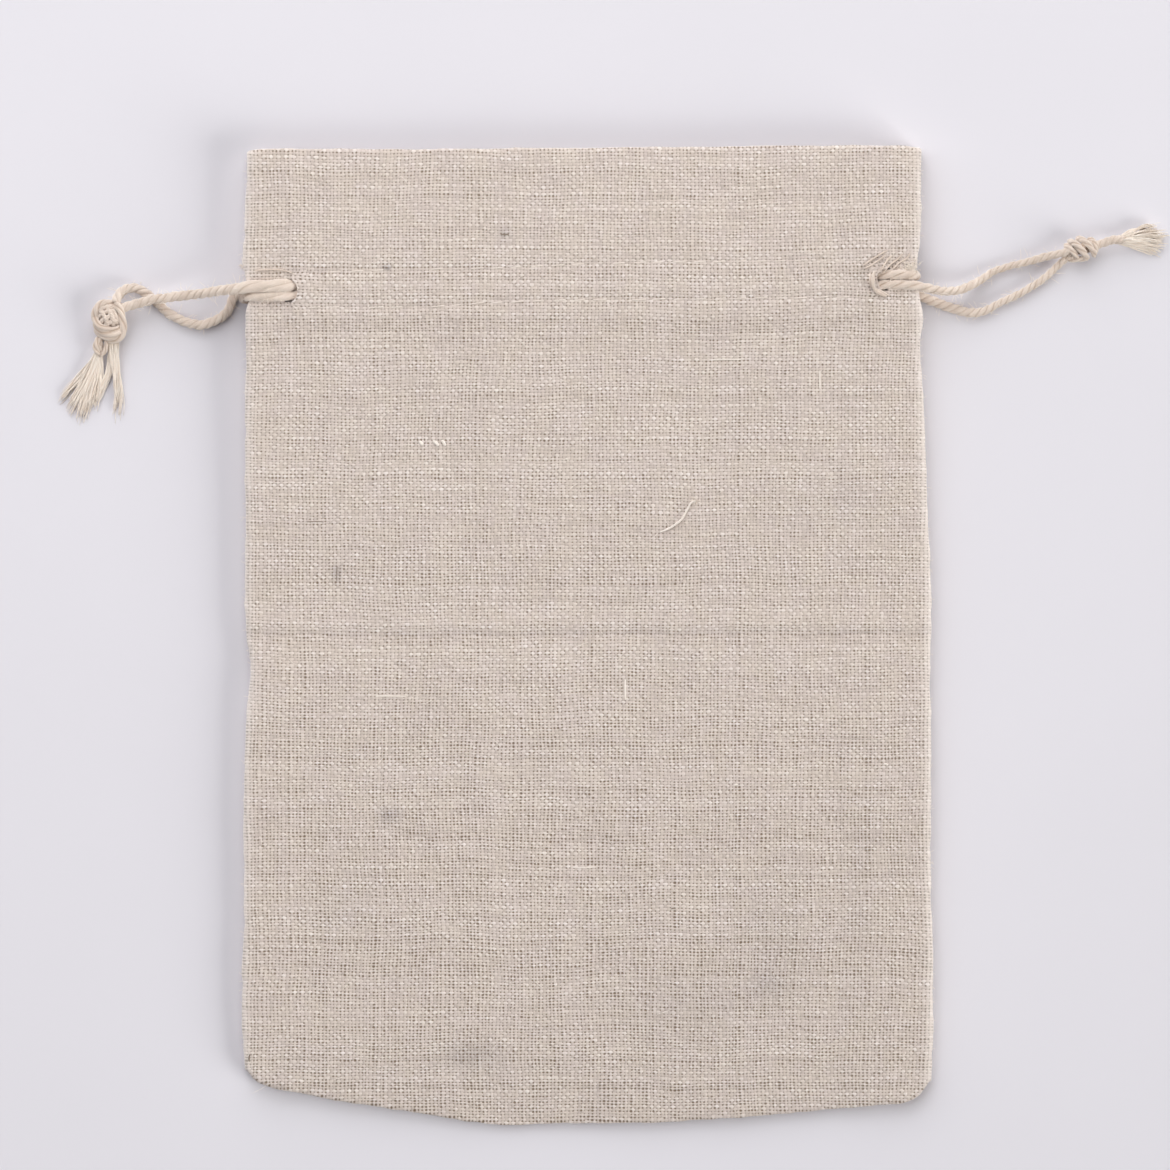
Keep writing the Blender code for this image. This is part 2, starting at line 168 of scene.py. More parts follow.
def tubes(middle, sideways, upwards, wide, tall, sides):
    # rings carried along many lines at once: middle + wide cos(a) sideways + tall sin(a) upwards, a from
    # -180 to 180 degrees. Returns points, faces, uv in mm (round the ring, along the line) and each a.
    count, steps = middle.shape[:2]
    a = np.linspace(-pi, pi, sides, endpoint=False)
    wide = np.broadcast_to(wide, (count, steps))
    tall = np.broadcast_to(tall, (count, steps))
    ring = middle[:, :, None] + (wide[..., None] * np.cos(a))[..., None] * sideways[:, :, None]
    ring = ring + (tall[..., None] * np.sin(a))[..., None] * upwards[:, :, None]
    tube, row, side = np.meshgrid(np.arange(count), np.arange(steps - 1), np.arange(sides), indexing="ij")
    start = (tube * steps + row) * sides
    after = (side + 1) % sides
    quads = np.stack([start + side, start + after, start + sides + after, start + sides + side], -1)
    run = np.cumsum(np.linalg.norm(np.diff(middle, axis=1, prepend=middle[:, :1]), axis=-1), axis=1)
    girth = (wide + tall).mean() * pi / sides
    shift = np.arange(count)[:, None] * 7.3
    u = np.stack([side, side + 1, side + 1, side], -1) * girth + tube[..., None] * 3.1
    along = run + shift
    near, far = along[:, :-1, None], along[:, 1:, None]
    v = np.stack(np.broadcast_arrays(near, near, far, far), -1)
    v = np.broadcast_to(v, u.shape)
    uv = np.stack([u, v], -1).reshape(-1, 2)
    spin = np.arange(sides)
    first = np.arange(count)[:, None] * steps * sides + spin[::-1]
    last = (np.arange(count)[:, None] * steps + steps - 1) * sides + spin
    caps = np.concatenate([first, last])
    capUv = np.stack([np.tile(spin * girth, len(caps)), np.zeros(caps.size)], -1)
    faces = [quads.reshape(-1, 4), caps]
    return ring.reshape(-1, 3), faces, np.concatenate([uv, capUv]), np.tile(a, count * steps)


def laidCord(line, cord, swell, flat, seed, lean=(0, -1, 0)):
    # plies laid together: ply k's middle goes round the line at the angle 360 k / plies minus one turn a
    # lay, at the distance orbit. Each is a tube of its own, thick and thin as hand-spun cotton is. swell
    # and flat widen the cord and press it down. Where it is opened its plies are thicker and lie closer.
    rng = np.random.default_rng(seed)
    steps = len(line)
    run = np.concatenate([[0.0], np.cumsum(np.linalg.norm(np.diff(line, axis=0), axis=1))])
    swell = np.broadcast_to(swell, steps)
    flat = np.broadcast_to(flat, steps)
    lay = cord["lay"] * np.broadcast_to(cord["loosen"], steps)
    turn = -2 * pi * np.concatenate([[0.0], np.cumsum(np.diff(run) / lay[1:])])
    _, sideways, upwards = framesAlong(line, lean)
    wander = 1 + 0.045 * softNoise(rng, steps, 9) + 0.045 * softNoise(rng, steps, 40)
    k = np.arange(cord["plies"])[:, None]
    angle = turn + 2 * pi * k / cord["plies"] + cord["start"]
    wide, tall = swell * wander, swell * flat * wander
    out = np.cos(angle)[..., None] * (sideways * wide[:, None])
    out = out + np.sin(angle)[..., None] * (upwards * tall[:, None])
    opened = np.broadcast_to(cord["opened"], steps)
    middle = line + (cord["orbit"] * (1 - 0.15 * opened))[:, None] * out
    plyAhead = unit(np.gradient(middle, axis=1))
    outward = unit(out - (out * plyAhead).sum(-1, keepdims=True) * plyAhead)
    across = np.cross(plyAhead, outward)
    lumps = np.stack([softNoise(rng, steps, 5) for _ in range(cord["plies"])])
    size = cord["ply"] * np.sqrt(wide * tall) * (1 + 0.07 * lumps) * (1 + 0.22 * opened)
    points, faces, uv, a = tubes(middle, outward, across, size, size, cord["sides"])
    # The crown value is 1 on the outside of the cord and -1 deep between its plies; the yarn material paints
    # shade where it is low. Where the cord is opened it is raised, so those plies are painted paler.
    return points, faces, uv, np.cos(a) + 0.5 * np.tile(np.repeat(opened, cord["sides"]), cord["plies"])


def joinParts(parts):
    # several sets of points, faces, uv and one value a point, as one
    offset, allFaces = 0, {}
    for points, faces, uv, _ in parts:
        at = 0
        for f in faces:
            allFaces.setdefault(f.shape[1], []).append((f + offset, uv[at:at + f.size]))
            at += f.size
        offset += len(points)
    faces = [np.concatenate([f for f, _ in group]) for group in allFaces.values()]
    uv = np.concatenate([u for group in allFaces.values() for _, u in group])
    return np.concatenate([p[0] for p in parts]), faces, uv, np.concatenate([p[3] for p in parts])


# The camera looks straight down. Its frame is the width it takes in at the height of the cloth's face.
cameraSet = {"height": 1100.0, "frame": 170.8, "middle": (-0.36, 7.23), "face": 4.0, "sensor": 36.0}

camera = bpy.data.cameras.new("camera")
camera.sensor_width = cameraSet["sensor"]
camera.lens = cameraSet["sensor"] * (cameraSet["height"] - cameraSet["face"]) / cameraSet["frame"]
camera.clip_start, camera.clip_end = 0.05, 10.0
cameraObject = bpy.data.objects.new("camera", camera)
cameraObject.location = [v * mm for v in (*cameraSet["middle"], cameraSet["height"])]
bpy.context.scene.collection.objects.link(cameraObject)
bpy.context.scene.camera = cameraObject
print("camera placed")


# Yarns: the colour of the pale streaks, of the ground and of the painted shade between plies and on the
# undersides of strands, and how strong the streaks are. The cord is unbleached, its frayed ends are combed
# open, and shives are specks of flax stem.
yarnSets = {
    "cord_raw_cotton": ("#F1E5D9", "#E2D3C5", "#C8B19B", 1.2),
    "tail_combed_cotton": ("#FFF8EE", "#F9EDE0", "#E6D3BE", 1.2),
    "sewing_thread_cotton": ("#F6EEE6", "#EEE4DA", "#DDD0C2", 0.8),
    "flax_yarn": ("#FFF9F2", "#F8F0E7", "#E4D8CC", 0.9),
    "flax_shive": ("#A59686", "#8B7B6E", "#6F6058", 0.9),
}


def yarnMaterial(name, pale, body, shadeColour, streak):
    # soft-spun yarn: no shine, fine pale streaks of fibre, and painted shade: darker between the plies and on
    # the undersides of strands, by the crown value
    material, add, shader = newMaterial(name)
    uv = add("UVMap", uv_map="thread")
    # fibres are about 0.02 mm thick, drawn at 0.1 mm so that they show
    stretched = add("VectorMath", [uv, (9.0, 0.8, 1.0)], operation="MULTIPLY")
    fibres = add("TexNoise", {"Vector": stretched, "Scale": 1.0, "Detail": 4.0, "Roughness": 0.6},
                 noise_dimensions="2D")
    slow = add("TexNoise", {"Vector": uv, "Scale": 0.35, "Detail": 2.0, "Roughness": 0.5},
               noise_dimensions="2D")
    crownShade = add("Attribute", attribute_name="crownShade")
    mixture = add("Math", [fibres, 0.6 * streak, slow], operation="MULTIPLY_ADD")
    tone = add("MapRange", {0: mixture, 1: 0.55, 2: 1.05})
    ground = add("Mix", {0: tone, 6: linearColour(body), 7: linearColour(pale)}, data_type="RGBA")
    # painted shade: the ground turns to the shade colour where the crown value is low
    shadeMask = add("MapRange", {0: crownShade.outputs["Fac"], 1: -0.35, 2: 0.75}, interpolation_type="SMOOTHSTEP")
    colour = add("Mix", {0: shadeMask, 6: linearColour(shadeColour), 7: ground.outputs[2]}, data_type="RGBA")
    matt = add("MapRange", {0: fibres, 1: 0.3, 2: 0.7, 3: 0.82, 4: 0.96})
    relief = add("Bump", {"Strength": 0.9, "Distance": 0.00009, "Height": fibres})
    plugIn(shader, {"Base Color": colour.outputs[2], "Roughness": matt, "Normal": relief,
                    "Diffuse Roughness": 1.0, "IOR": 1.45, "Specular IOR Level": 0.25,
                    "Sheen Weight": 0.5, "Sheen Roughness": 0.5})
    return material


cordCotton, tailCotton, threadCotton, flaxYarn, flaxShive = (
    yarnMaterial(name, *values) for name, values in yarnSets.items())
print("yarn materials made")


# Each drawstring has three plies, 1.6 mm across together, laid to the left with a turn every 3.5 mm.
# orbit is how far a ply's middle lies from the cord's, and ply its radius.
cordSet = {"plies": 3, "orbit": 0.32, "ply": 0.465, "lay": 3.5, "sides": 12, "spacing": 0.24, "loosen": 1.0,
           "opened": 0.0}

# Cord with its ends on the left: knot, left slit, front channel, round the right edge, back channel, knot.
leftRoute = [
    (-68.6, 47.6, 2.0), (-67.2, 48.0, 2.1), (-65.7, 48.4, 2.3), (-63.6, 48.9, 2.6), (-61.0, 49.3, 2.6),
    (-58.2, 49.6, 2.9), (-54.8, 50.0, 3.9), (-52.2, 50.35, 4.8), (-49.7, 50.65, 5.15), (-47.6, 50.8, 5.2),
    (-45.8, 50.85, 5.2), (-44.0, 50.85, 5.0), (-42.2, 50.95, 4.2), (-39.0, 51.2, 4.1), (-21.0, 51.5, 4.1),
    (0.0, 51.9, 4.1), (21.0, 52.3, 4.1), (39.0, 52.6, 4.1), (41.3, 52.5, 4.2), (43.0, 52.5, 4.9),
    (44.8, 52.55, 5.1), (46.2, 52.5, 4.95), (47.3, 52.45, 4.4), (47.9, 52.4, 3.5), (47.95, 52.4, 2.4),
    (47.5, 52.5, 1.4), (46.5, 52.6, 0.9), (44.8, 52.7, 0.8), (43.0, 52.7, 1.0), (41.3, 52.6, 1.35),
    (21.0, 52.3, 1.35), (0.0, 51.9, 1.35), (-21.0, 51.5, 1.35), (-42.2, 51.1, 1.35), (-44.0, 51.1, 1.0),
    (-45.8, 51.1, 0.8), (-48.4, 50.9, 0.8), (-50.3, 50.5, 0.8), (-51.6, 49.8, 0.8), (-52.1, 48.7, 0.8),
    (-52.5, 47.6, 0.8), (-53.3, 46.7, 0.8), (-54.6, 45.9, 0.8), (-56.2, 45.4, 0.8), (-58.4, 45.6, 0.8),
    (-60.5, 46.5, 0.8), (-62.2, 47.8, 0.8), (-63.7, 49.2, 0.85), (-64.9, 50.1, 0.95), (-66.2, 50.7, 1.15),
    (-67.6, 50.5, 1.5), (-68.6, 49.6, 1.9), (-69.1, 48.5, 2.3),
]

# Cord with its ends on the right: knot, right slit, front channel, round the left edge, back channel, knot.
rightRoute = [
    (71.0, 56.3, 2.2), (69.5, 55.8, 1.8), (67.6, 55.4, 1.3), (64.6, 54.6, 0.9), (61.4, 53.8, 0.8),
    (59.4, 53.1, 0.85), (58.0, 52.2, 1.0), (56.6, 51.3, 1.5), (55.0, 50.6, 2.3), (53.0, 50.15, 3.2),
    (50.8, 50.3, 4.2), (48.9, 50.7, 4.8), (47.0, 51.0, 5.0), (44.8, 51.05, 5.05), (43.0, 51.05, 4.9),
    (41.3, 50.8, 4.2), (39.0, 50.75, 4.1), (21.0, 50.4, 4.1), (0.0, 50.0, 4.1), (-21.0, 49.6, 4.1),
    (-39.0, 49.35, 4.1), (-42.2, 49.4, 4.2), (-44.0, 49.35, 4.9), (-45.8, 49.3, 5.05), (-47.8, 49.25, 5.0),
    (-49.3, 49.3, 4.6), (-50.1, 49.3, 3.8), (-50.35, 49.2, 2.9), (-50.1, 49.0, 1.8), (-49.3, 48.95, 1.05),
    (-48.0, 49.0, 0.8), (-45.8, 49.1, 0.8), (-44.0, 49.2, 1.0), (-42.2, 49.2, 1.35), (-21.0, 49.6, 1.35),
    (0.0, 50.0, 1.35), (21.0, 50.4, 1.35), (41.3, 50.7, 1.35), (43.0, 50.75, 1.0), (44.8, 50.7, 0.8),
    (47.0, 50.2, 0.8), (49.3, 49.3, 0.8), (51.3, 48.5, 0.8), (53.6, 47.7, 0.8), (55.9, 47.1, 0.8),
    (57.9, 47.3, 0.8), (60.3, 48.5, 0.8), (63.1, 49.8, 0.8), (65.5, 51.2, 0.8), (67.4, 52.6, 0.8),
    (69.0, 54.1, 0.9), (70.3, 55.3, 1.2),
]


def makeDrawstring(name, route, seed, node, faceWidths):
    # On the pouch's face, between slit and edge, the cord is pressed flat and its plies lie longer.
    # faceWidths says how much wider it lies there at the left opening and at the right one.
    line = smoothLine(route, cordSet["spacing"])
    x, z = line[:, 0], line[:, 2]
    onFace = easeStep((np.abs(x) - 41.0) / 2.0) * easeStep((51.5 - np.abs(x)) / 3.5)
    onFace = onFace * easeStep((z - 4.2) / 0.7)
    onLeft = x < 0
    wider = (np.where(onLeft, *faceWidths) - 1) * onFace
    settings = dict(cordSet, loosen=1 + np.where(onLeft, 3.4, 0.9) * onFace,
                    opened=np.where(onLeft, 1.0, 0.45) * onFace, start=0.6 * seed)
    # the ends on the right are a little thinner, most of all beside the knot
    thin = 1 - 0.24 * easeStep((x - 50.0) / 15.0)
    points, faces, uv, crownShade = laidCord(line, settings, thin * (1 + wider), 1 - 0.32 * onFace, seed)
    piece = makePiece(name, points, faces, cordCotton, uv, {"crownShade": crownShade})
    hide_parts(node)
    length = float(np.linalg.norm(np.diff(line, axis=0), axis=1).sum())
    print(f"{name}: {length:.0f} mm of cord")
    return piece, line * mm, length * mm


leftCord, leftLine, leftLength = makeDrawstring(
    "drawstring_left_cord", leftRoute, 3, "drawstring_left", (1.40, 1.10))
rightCord, rightLine, rightLength = makeDrawstring(
    "drawstring_right_cord", rightRoute, 8, "drawstring_right", (1.05, 1.02))


# Each knot is drawn tight from both strands of its cord, round an egg-shaped core given by its middle and
# half sizes. A bit is one visible turn of cord, with its size as a share of the cord's and its lay in mm.
knotSets = {
    "knot_left": {
        "core": ((-69.95, 45.7, 1.5), (1.7, 2.3, 1.25)),
        "bits": [
            # arch strand: down the right side, then the lowest wrap
            ((-69.1, 48.5, 2.3), (-68.5, 47.7, 2.6), (-68.0, 46.4, 2.7), (-67.85, 45.0, 2.5),
             (-68.1, 43.9, 2.2), (-69.0, 43.3, 2.2), (-70.2, 43.45, 2.3), (-71.2, 44.0, 2.1),
             (-71.9, 45.0, 1.3)),
            # lower wrap
            ((-72.0, 46.3, 1.3), (-71.8, 45.2, 2.0), (-71.2, 44.4, 2.5), (-70.3, 44.05, 2.8),
             (-69.2, 43.95, 2.7), (-68.3, 44.2, 2.3), (-67.7, 44.9, 1.4)),
            # upper wrap, from the left side
            ((-71.9, 47.3, 1.5), (-71.95, 46.3, 2.2), (-71.5, 45.2, 2.7), (-70.7, 44.75, 2.95),
             (-69.6, 44.55, 2.95), (-68.6, 44.7, 2.6), (-68.0, 45.3, 1.8)),
            # left band and top
            ((-71.9, 45.6, 1.4), (-71.9, 46.8, 2.1), (-71.6, 47.8, 2.3), (-70.8, 48.4, 2.3),
             (-69.9, 48.4, 2.2), (-69.2, 47.9, 1.9)),
            # upper strand going in
            ((-68.6, 47.6, 2.0), (-69.4, 47.2, 1.7), (-70.2, 46.6, 1.5)),
            # the small crossings in the middle, one way and then the other over them
            ((-71.6, 47.0, 1.9), (-70.9, 47.65, 2.6), (-70.0, 47.9, 2.65), (-69.2, 47.6, 2.2)),
            ((-71.5, 46.2, 2.1), (-70.8, 46.9, 2.85), (-69.8, 47.25, 2.9), (-68.8, 47.0, 2.2)),
            ((-71.2, 45.5, 2.2), (-70.4, 46.2, 3.0), (-69.5, 46.5, 3.0), (-68.5, 46.3, 2.2)),
            ((-70.6, 45.1, 2.3), (-69.9, 45.55, 3.0), (-69.2, 45.75, 3.0), (-68.4, 45.5, 2.2)),
            ((-71.3, 47.6, 2.0), (-70.9, 47.0, 2.9), (-70.4, 46.2, 3.15), (-70.2, 45.5, 3.0),
             (-70.2, 44.9, 2.4)),
            ((-70.4, 48.0, 2.1), (-69.9, 47.3, 2.95), (-69.5, 46.6, 3.2), (-69.3, 45.8, 3.15),
             (-69.3, 45.0, 2.4)),
            ((-69.6, 47.8, 2.1), (-69.1, 47.0, 2.8), (-68.8, 46.1, 2.9), (-68.6, 45.2, 2.4)),
            # the nub: the cut end turned on itself, with its hollow on the right
            ((-71.0, 43.7, 1.6), (-71.65, 43.1, 1.9), (-71.9, 42.3, 1.9), (-71.8, 41.5, 1.7),
             (-71.4, 40.9, 1.5)),
            ((-70.6, 43.6, 1.5), (-70.4, 42.8, 1.7), (-70.45, 42.0, 1.7), (-70.8, 41.2, 1.6),
             (-71.4, 40.7, 1.4)),
            ((-71.2, 43.5, 1.2), (-71.3, 42.6, 1.35), (-71.3, 41.8, 1.3), (-71.4, 41.0, 1.2)),
        ],
        "size": [0.80, 0.72, 0.70, 0.82, 0.9, 0.5, 0.5, 0.5, 0.5, 0.44, 0.44, 0.42, 0.56, 0.44, 0.62],
        "lay": [7.0, 9.0, 9.0, 5.5, 3.4, 1.5, 1.4, 1.5, 1.4, 1.5, 1.4, 1.5, 4.0, 4.0, 3.0],
    },
    "knot_right": {
        "core": ((72.1, 56.4, 1.3), (1.7, 0.8, 1.0)),
        "bits": [
            # three slanting wraps side by side
            ((69.9, 57.0, 1.2), (70.5, 56.5, 2.2), (71.2, 55.7, 2.4), (71.7, 55.0, 1.4)),
            ((70.4, 57.5, 1.2), (71.1, 57.2, 2.3), (71.9, 56.5, 2.9), (72.6, 55.7, 2.6), (73.1, 54.9, 1.4)),
            ((71.6, 57.9, 1.3), (72.4, 57.7, 2.3), (73.2, 57.0, 2.7), (73.9, 56.1, 2.4), (74.2, 55.3, 1.4)),
            # the strand they hold, from below to the neck
            ((69.8, 55.2, 1.2), (70.7, 55.9, 1.7), (71.9, 56.6, 2.0), (73.1, 57.1, 2.1), (74.1, 57.1, 1.7)),
            # round end on the right and turn along the bottom
            ((73.2, 57.8, 1.4), (74.0, 57.5, 2.0), (74.45, 56.7, 2.1), (74.3, 55.9, 1.5)),
            ((70.2, 55.0, 1.1), (71.2, 54.9, 1.5), (72.3, 54.95, 1.7), (73.4, 55.2, 1.4)),
            # strands going in
            ((71.0, 56.3, 2.2), (71.8, 56.4, 1.9), (72.6, 56.5, 1.6)),
            ((70.3, 55.3, 1.2), (71.0, 55.9, 1.3), (71.9, 56.2, 1.3)),
            # twisted neck, thicker towards the tassel
            ((73.6, 56.6, 1.5), (74.6, 57.0, 1.6), (75.8, 57.4, 1.7), (77.0, 57.7, 1.7), (78.2, 57.8, 1.5),
             (79.2, 57.9, 1.2)),
        ],
        "size": [0.62, 0.66, 0.66, 0.6, 0.56, 0.56, 0.7, 0.7, 0.84],
        "lay": [4.5, 4.5, 4.5, 4.0, 5.0, 5.0, 3.4, 3.4, 2.8],
    },
}


def eggPart(middle, half, rows=14, sides=20):
    # a closed egg: each ring's radius is the half size times sin(t), its height the half size times cos(t)
    t = np.linspace(0.06, pi - 0.06, rows)
    line = np.stack([np.zeros(rows), half[1] * np.cos(t), np.zeros(rows)], 1) + np.array(middle)
    _, sideways, upwards = framesAlong(line[None], (1, 0, 0))
    wide, tall = half[0] * np.sin(t), half[2] * np.sin(t)
    points, faces, uv, _ = tubes(line[None], sideways, upwards, wide, tall, sides)
    # the core lies deep between the turns and is painted mostly in the yarn's shade colour
    return points, faces, uv, np.full(len(points), 0.1)


def makeKnot(name, knot):
    # an egg for a core, and laid cord along each turn, thinner at both ends
    parts = [eggPart(*knot["core"])]
    for n, bit in enumerate(knot["bits"]):
        line = smoothLine(bit, 0.2)
        settings = dict(cordSet, lay=knot["lay"][n], start=1.3 * n, sides=14)
        ends = np.sqrt(np.clip(np.minimum(np.arange(len(line)), np.arange(len(line))[::-1]) / 4 + 0.35, 0, 1))
        parts.append(laidCord(line, settings, knot["size"][n] * ends, 1.0, 40 + n, lean=(0.35, -0.2, 0.9)))
    points, faces, uv, crownShade = joinParts(parts)
    points[:, 2] = np.maximum(points[:, 2], 0.02)
    piece = makePiece(name + "_turns", points, faces, cordCotton, uv, {"crownShade": crownShade})
    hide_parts(name)
    print(f"{name}: {len(knot['bits'])} turns")
    return piece


knotLeft = makeKnot("knot_left", knotSets["knot_left"])
knotRight = makeKnot("knot_right", knotSets["knot_right"])


# Guides are the frayed yarns of a tail, from knot to tip; each is drawn as a lock of fine strands. root and
# spread are the lock's half width at the knot and at the tip, and thick a strand's radius.
tailSets = {
    "tail_left_fan": {
        "strands": 22, "thick": 0.07, "root": 0.33, "spread": 0.46, "seed": 5,
        "guides": [
            ((-71.7, 41.6, 1.1), (-72.5, 40.2, 0.8), (-74.0, 38.2, 0.5), (-75.6, 36.4, 0.35),
             (-77.0, 34.9, 0.25)),
            ((-71.7, 41.4, 1.2), (-72.5, 39.8, 0.9), (-73.7, 37.4, 0.6), (-74.9, 35.2, 0.4),
             (-75.8, 33.8, 0.3)),
            ((-71.6, 41.3, 1.4), (-72.2, 39.4, 1.1), (-73.3, 36.8, 0.7), (-74.5, 34.4, 0.5),
             (-75.2, 33.0, 0.3)),
            ((-71.5, 41.3, 1.4), (-71.9, 39.4, 1.1), (-72.8, 36.8, 0.8), (-73.7, 34.2, 0.5),
             (-74.3, 32.2, 0.3)),
            ((-71.4, 41.4, 1.4), (-71.6, 39.6, 1.1), (-72.1, 37.2, 0.8), (-72.8, 34.8, 0.5),
             (-73.4, 32.6, 0.3)),
            ((-71.3, 41.3, 1.1), (-71.3, 39.6, 0.9), (-71.5, 37.4, 0.6), (-71.9, 35.2, 0.4),
             (-72.3, 33.6, 0.3)),
        ],
    },
    "tail_left_straight": {
        "strands": 14, "thick": 0.07, "root": 0.34, "spread": 0.17, "seed": 6,
        "guides": [
            ((-69.75, 43.3, 1.6), (-69.75, 41.4, 1.3), (-69.6, 39.4, 0.9), (-69.3, 37.4, 0.6),
             (-69.0, 35.4, 0.4)),
            ((-68.95, 43.4, 1.6), (-68.95, 41.4, 1.3), (-68.8, 39.2, 0.9), (-68.5, 36.6, 0.5),
             (-68.3, 34.2, 0.3)),
            ((-69.3, 43.2, 1.3), (-69.3, 41.0, 1.0), (-69.1, 38.4, 0.6), (-69.0, 35.4, 0.4),
             (-69.3, 32.8, 0.3)),
            ((-69.2, 43.0, 1.1), (-69.1, 40.6, 0.8), (-68.7, 37.6, 0.5), (-68.3, 35.0, 0.35),
             (-68.5, 32.9, 0.25)),
            ((-69.8, 42.6, 1.0), (-69.8, 40.0, 0.7), (-70.1, 37.9, 0.5), (-71.0, 35.9, 0.4),
             (-71.9, 34.4, 0.3)),
            ((-69.9, 41.0, 0.7), (-70.3, 38.6, 0.5), (-71.2, 36.6, 0.4), (-72.4, 35.0, 0.3),
             (-73.4, 34.2, 0.2)),
        ],
    },
    "tail_right": {
        "strands": 24, "thick": 0.08, "root": 0.34, "spread": 0.46, "seed": 7,
        "guides": [
            ((77.8, 57.8, 1.3), (78.9, 58.5, 1.4), (80.2, 59.3, 1.4), (81.6, 59.7, 1.1), (82.8, 59.6, 0.7)),
            ((77.8, 57.7, 1.5), (79.0, 58.3, 1.7), (80.4, 58.8, 1.7), (82.0, 59.1, 1.3), (83.4, 59.0, 0.7)),
            ((77.8, 57.6, 1.5), (79.1, 57.9, 1.8), (80.6, 58.3, 1.8), (82.3, 58.5, 1.4), (83.6, 58.3, 0.8)),
            ((77.8, 57.6, 1.4), (79.1, 57.7, 1.7), (80.7, 57.7, 1.7), (82.3, 57.7, 1.3), (83.6, 57.5, 0.7)),
            ((77.7, 57.5, 1.2), (79.0, 57.4, 1.3), (80.5, 57.2, 1.2), (82.0, 57.0, 0.9), (83.4, 56.7, 0.5)),
            ((77.7, 57.5, 0.9), (79.0, 57.2, 0.8), (80.4, 56.8, 0.7), (81.9, 56.5, 0.5), (83.3, 56.1, 0.3)),
            ((77.7, 57.6, 0.9), (79.1, 57.9, 0.8), (80.8, 58.2, 0.7), (82.6, 58.2, 0.5), (84.4, 58.2, 0.4)),
        ],
    },
}


def makeTail(name, tail):
    # each guide is a flat lock of combed fibre with strands lying over it. strand = guide + a fixed random
    # offset that grows from root to spread, plus its own slow waver.
    rng = np.random.default_rng(tail["seed"])
    steps, parts = 26, []
    share = np.linspace(0.0, 1.0, steps)
    for guide in tail["guides"]:
        line = smoothLine(guide, 0.2)
        keep = np.linspace(0, len(line) - 1, steps)
        line = np.stack([np.interp(keep, np.arange(len(line)), line[:, k]) for k in range(3)], 1)
        _, sideways, upwards = framesAlong(line, (0.9, 0.3, 0.0))
        fan = tail["root"] + (tail["spread"] - tail["root"]) * share ** 1.3
        wide = (0.8 * fan * (1 + 0.12 * softNoise(rng, steps, 3)) * (1 - 0.8 * share ** 1.7))[None]
        lock = np.column_stack([line[:, :2], np.maximum(line[:, 2], 0.16)])[None]
        tall = 0.13 * (1 - 0.5 * share ** 3)[None]
        points, faces, uv, _ = tubes(lock, sideways[None], upwards[None], wide, tall, 14)
        parts.append((points, faces, uv, np.full(len(points), 0.6)))
        count = tail["strands"]
        offset = rng.uniform(-1, 1, count)
        rise = 0.07 + 0.08 * rng.uniform(0, 1, count)
        waver = np.stack([np.stack([softNoise(rng, steps, 4) for _ in range(3)], 1) for _ in range(count)])
        strand = line + (offset[:, None] * fan)[..., None] * sideways + rise[:, None, None] * upwards
        strand = strand + (0.03 + 0.13 * share)[:, None] * waver * (share > 0)[:, None]
        # tips end at different lengths
        stretch = 1 + 0.085 * rng.normal(size=count)[:, None, None] * share[:, None] ** 2
        strand = strand[:, :1] + (strand - strand[:, :1]) * stretch
        thick = tail["thick"] * rng.uniform(0.75, 1.25, count)[:, None] * (1 - 0.6 * share ** 4)
        strand[..., 2] = np.maximum(strand[..., 2], thick + 0.03)
        _, leftward, outward = framesAlong(strand, (0.9, 0.3, 0.0))
        points, faces, uv, a = tubes(strand, leftward, outward, thick, 0.7 * thick, 6)
        # painted shade: each strand's underside darker, its top paler
        parts.append((points, faces, uv, 0.6 + 0.3 * np.sin(a)))
    points, faces, uv, crownShade = joinParts(parts)
    piece = makePiece(name + "_yarns", points, faces, tailCotton, uv, {"crownShade": crownShade})
    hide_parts(name)
    return piece


tails = {name: makeTail(name, tail) for name, tail in tailSets.items()}
print("knots and tails made")


# The linen is an undyed plain weave, half bleached. Lengths are in mm. The pitch is the spacing of the
# yarns, and the relief how far their crowns stand up. Widths of yarns and sizes of holes are shares of the
# pitch. A yarn's tone comes from itself, from its thick and thin places and from painted light and shade:
# paler on the crown, darker on the flanks. A start only moves a pattern, so that warp and weft differ. Each
# noise has its scale in patterns a mm, its detail and its roughness.
weaveSet = {
    "relief": 0.10, "hole": 0.01, "holeSpread": 0.32, "holeOwn": 0.38, "holeCore": 0.45, "holeRim": 1.45,
    # the next share is how far the sewn edges are painted towards the fluff colour below: a painted highlight
    # over the rolled edges' shade, partly real rubbed fluff
    "tint": 0.20, "rubbedAndLit": 0.55,
    "colours": {"dark": "#C9BDB4", "middle": "#E6DBD2", "light": "#FFF9F4", "fluffAndHighlight": "#FFF8F2",
                # the two gap colours are the painted shade seen through the pinholes
                "gap": "#8B7862", "backedShade": "#978672", "warm": "#F0EADF", "cool": "#EEE7EB",
                # the stain colour darkens the real stains and also paints shade along the crease and in soft
                # dips
                "stainAndShade": "#B9B9C6"},
    "noises": {"drift": (0.045, 2.0, 0.5), "waver": (0.8, 2.0, 0.5), "patchy": (0.5, 3.0, 0.6),
               "fleck": (2.2, 3.0, 0.7), "tints": (0.22, 2.0, 0.7)},
    "yarns": [
        # the warp, along the pouch, and the weft, across it
        {"pitch": 0.54, "crowd": 0.30, "crowdStart": 0.0, "jump": 7.31, "slow": 0.40, "width": 0.60,
         "lift": 0.55, "own": 0.07, "ownStart": 0.0, "thick": 0.55, "gap": 0.16, "gapStart": 0.0},
        {"pitch": 0.465, "crowd": 0.34, "crowdStart": 311.0, "jump": 9.17, "slow": 0.11, "width": 0.62,
         "lift": -0.55, "own": 0.22, "ownStart": 1000.5, "thick": 0.70, "gap": 0.23, "gapStart": 700.5},
    ],
}


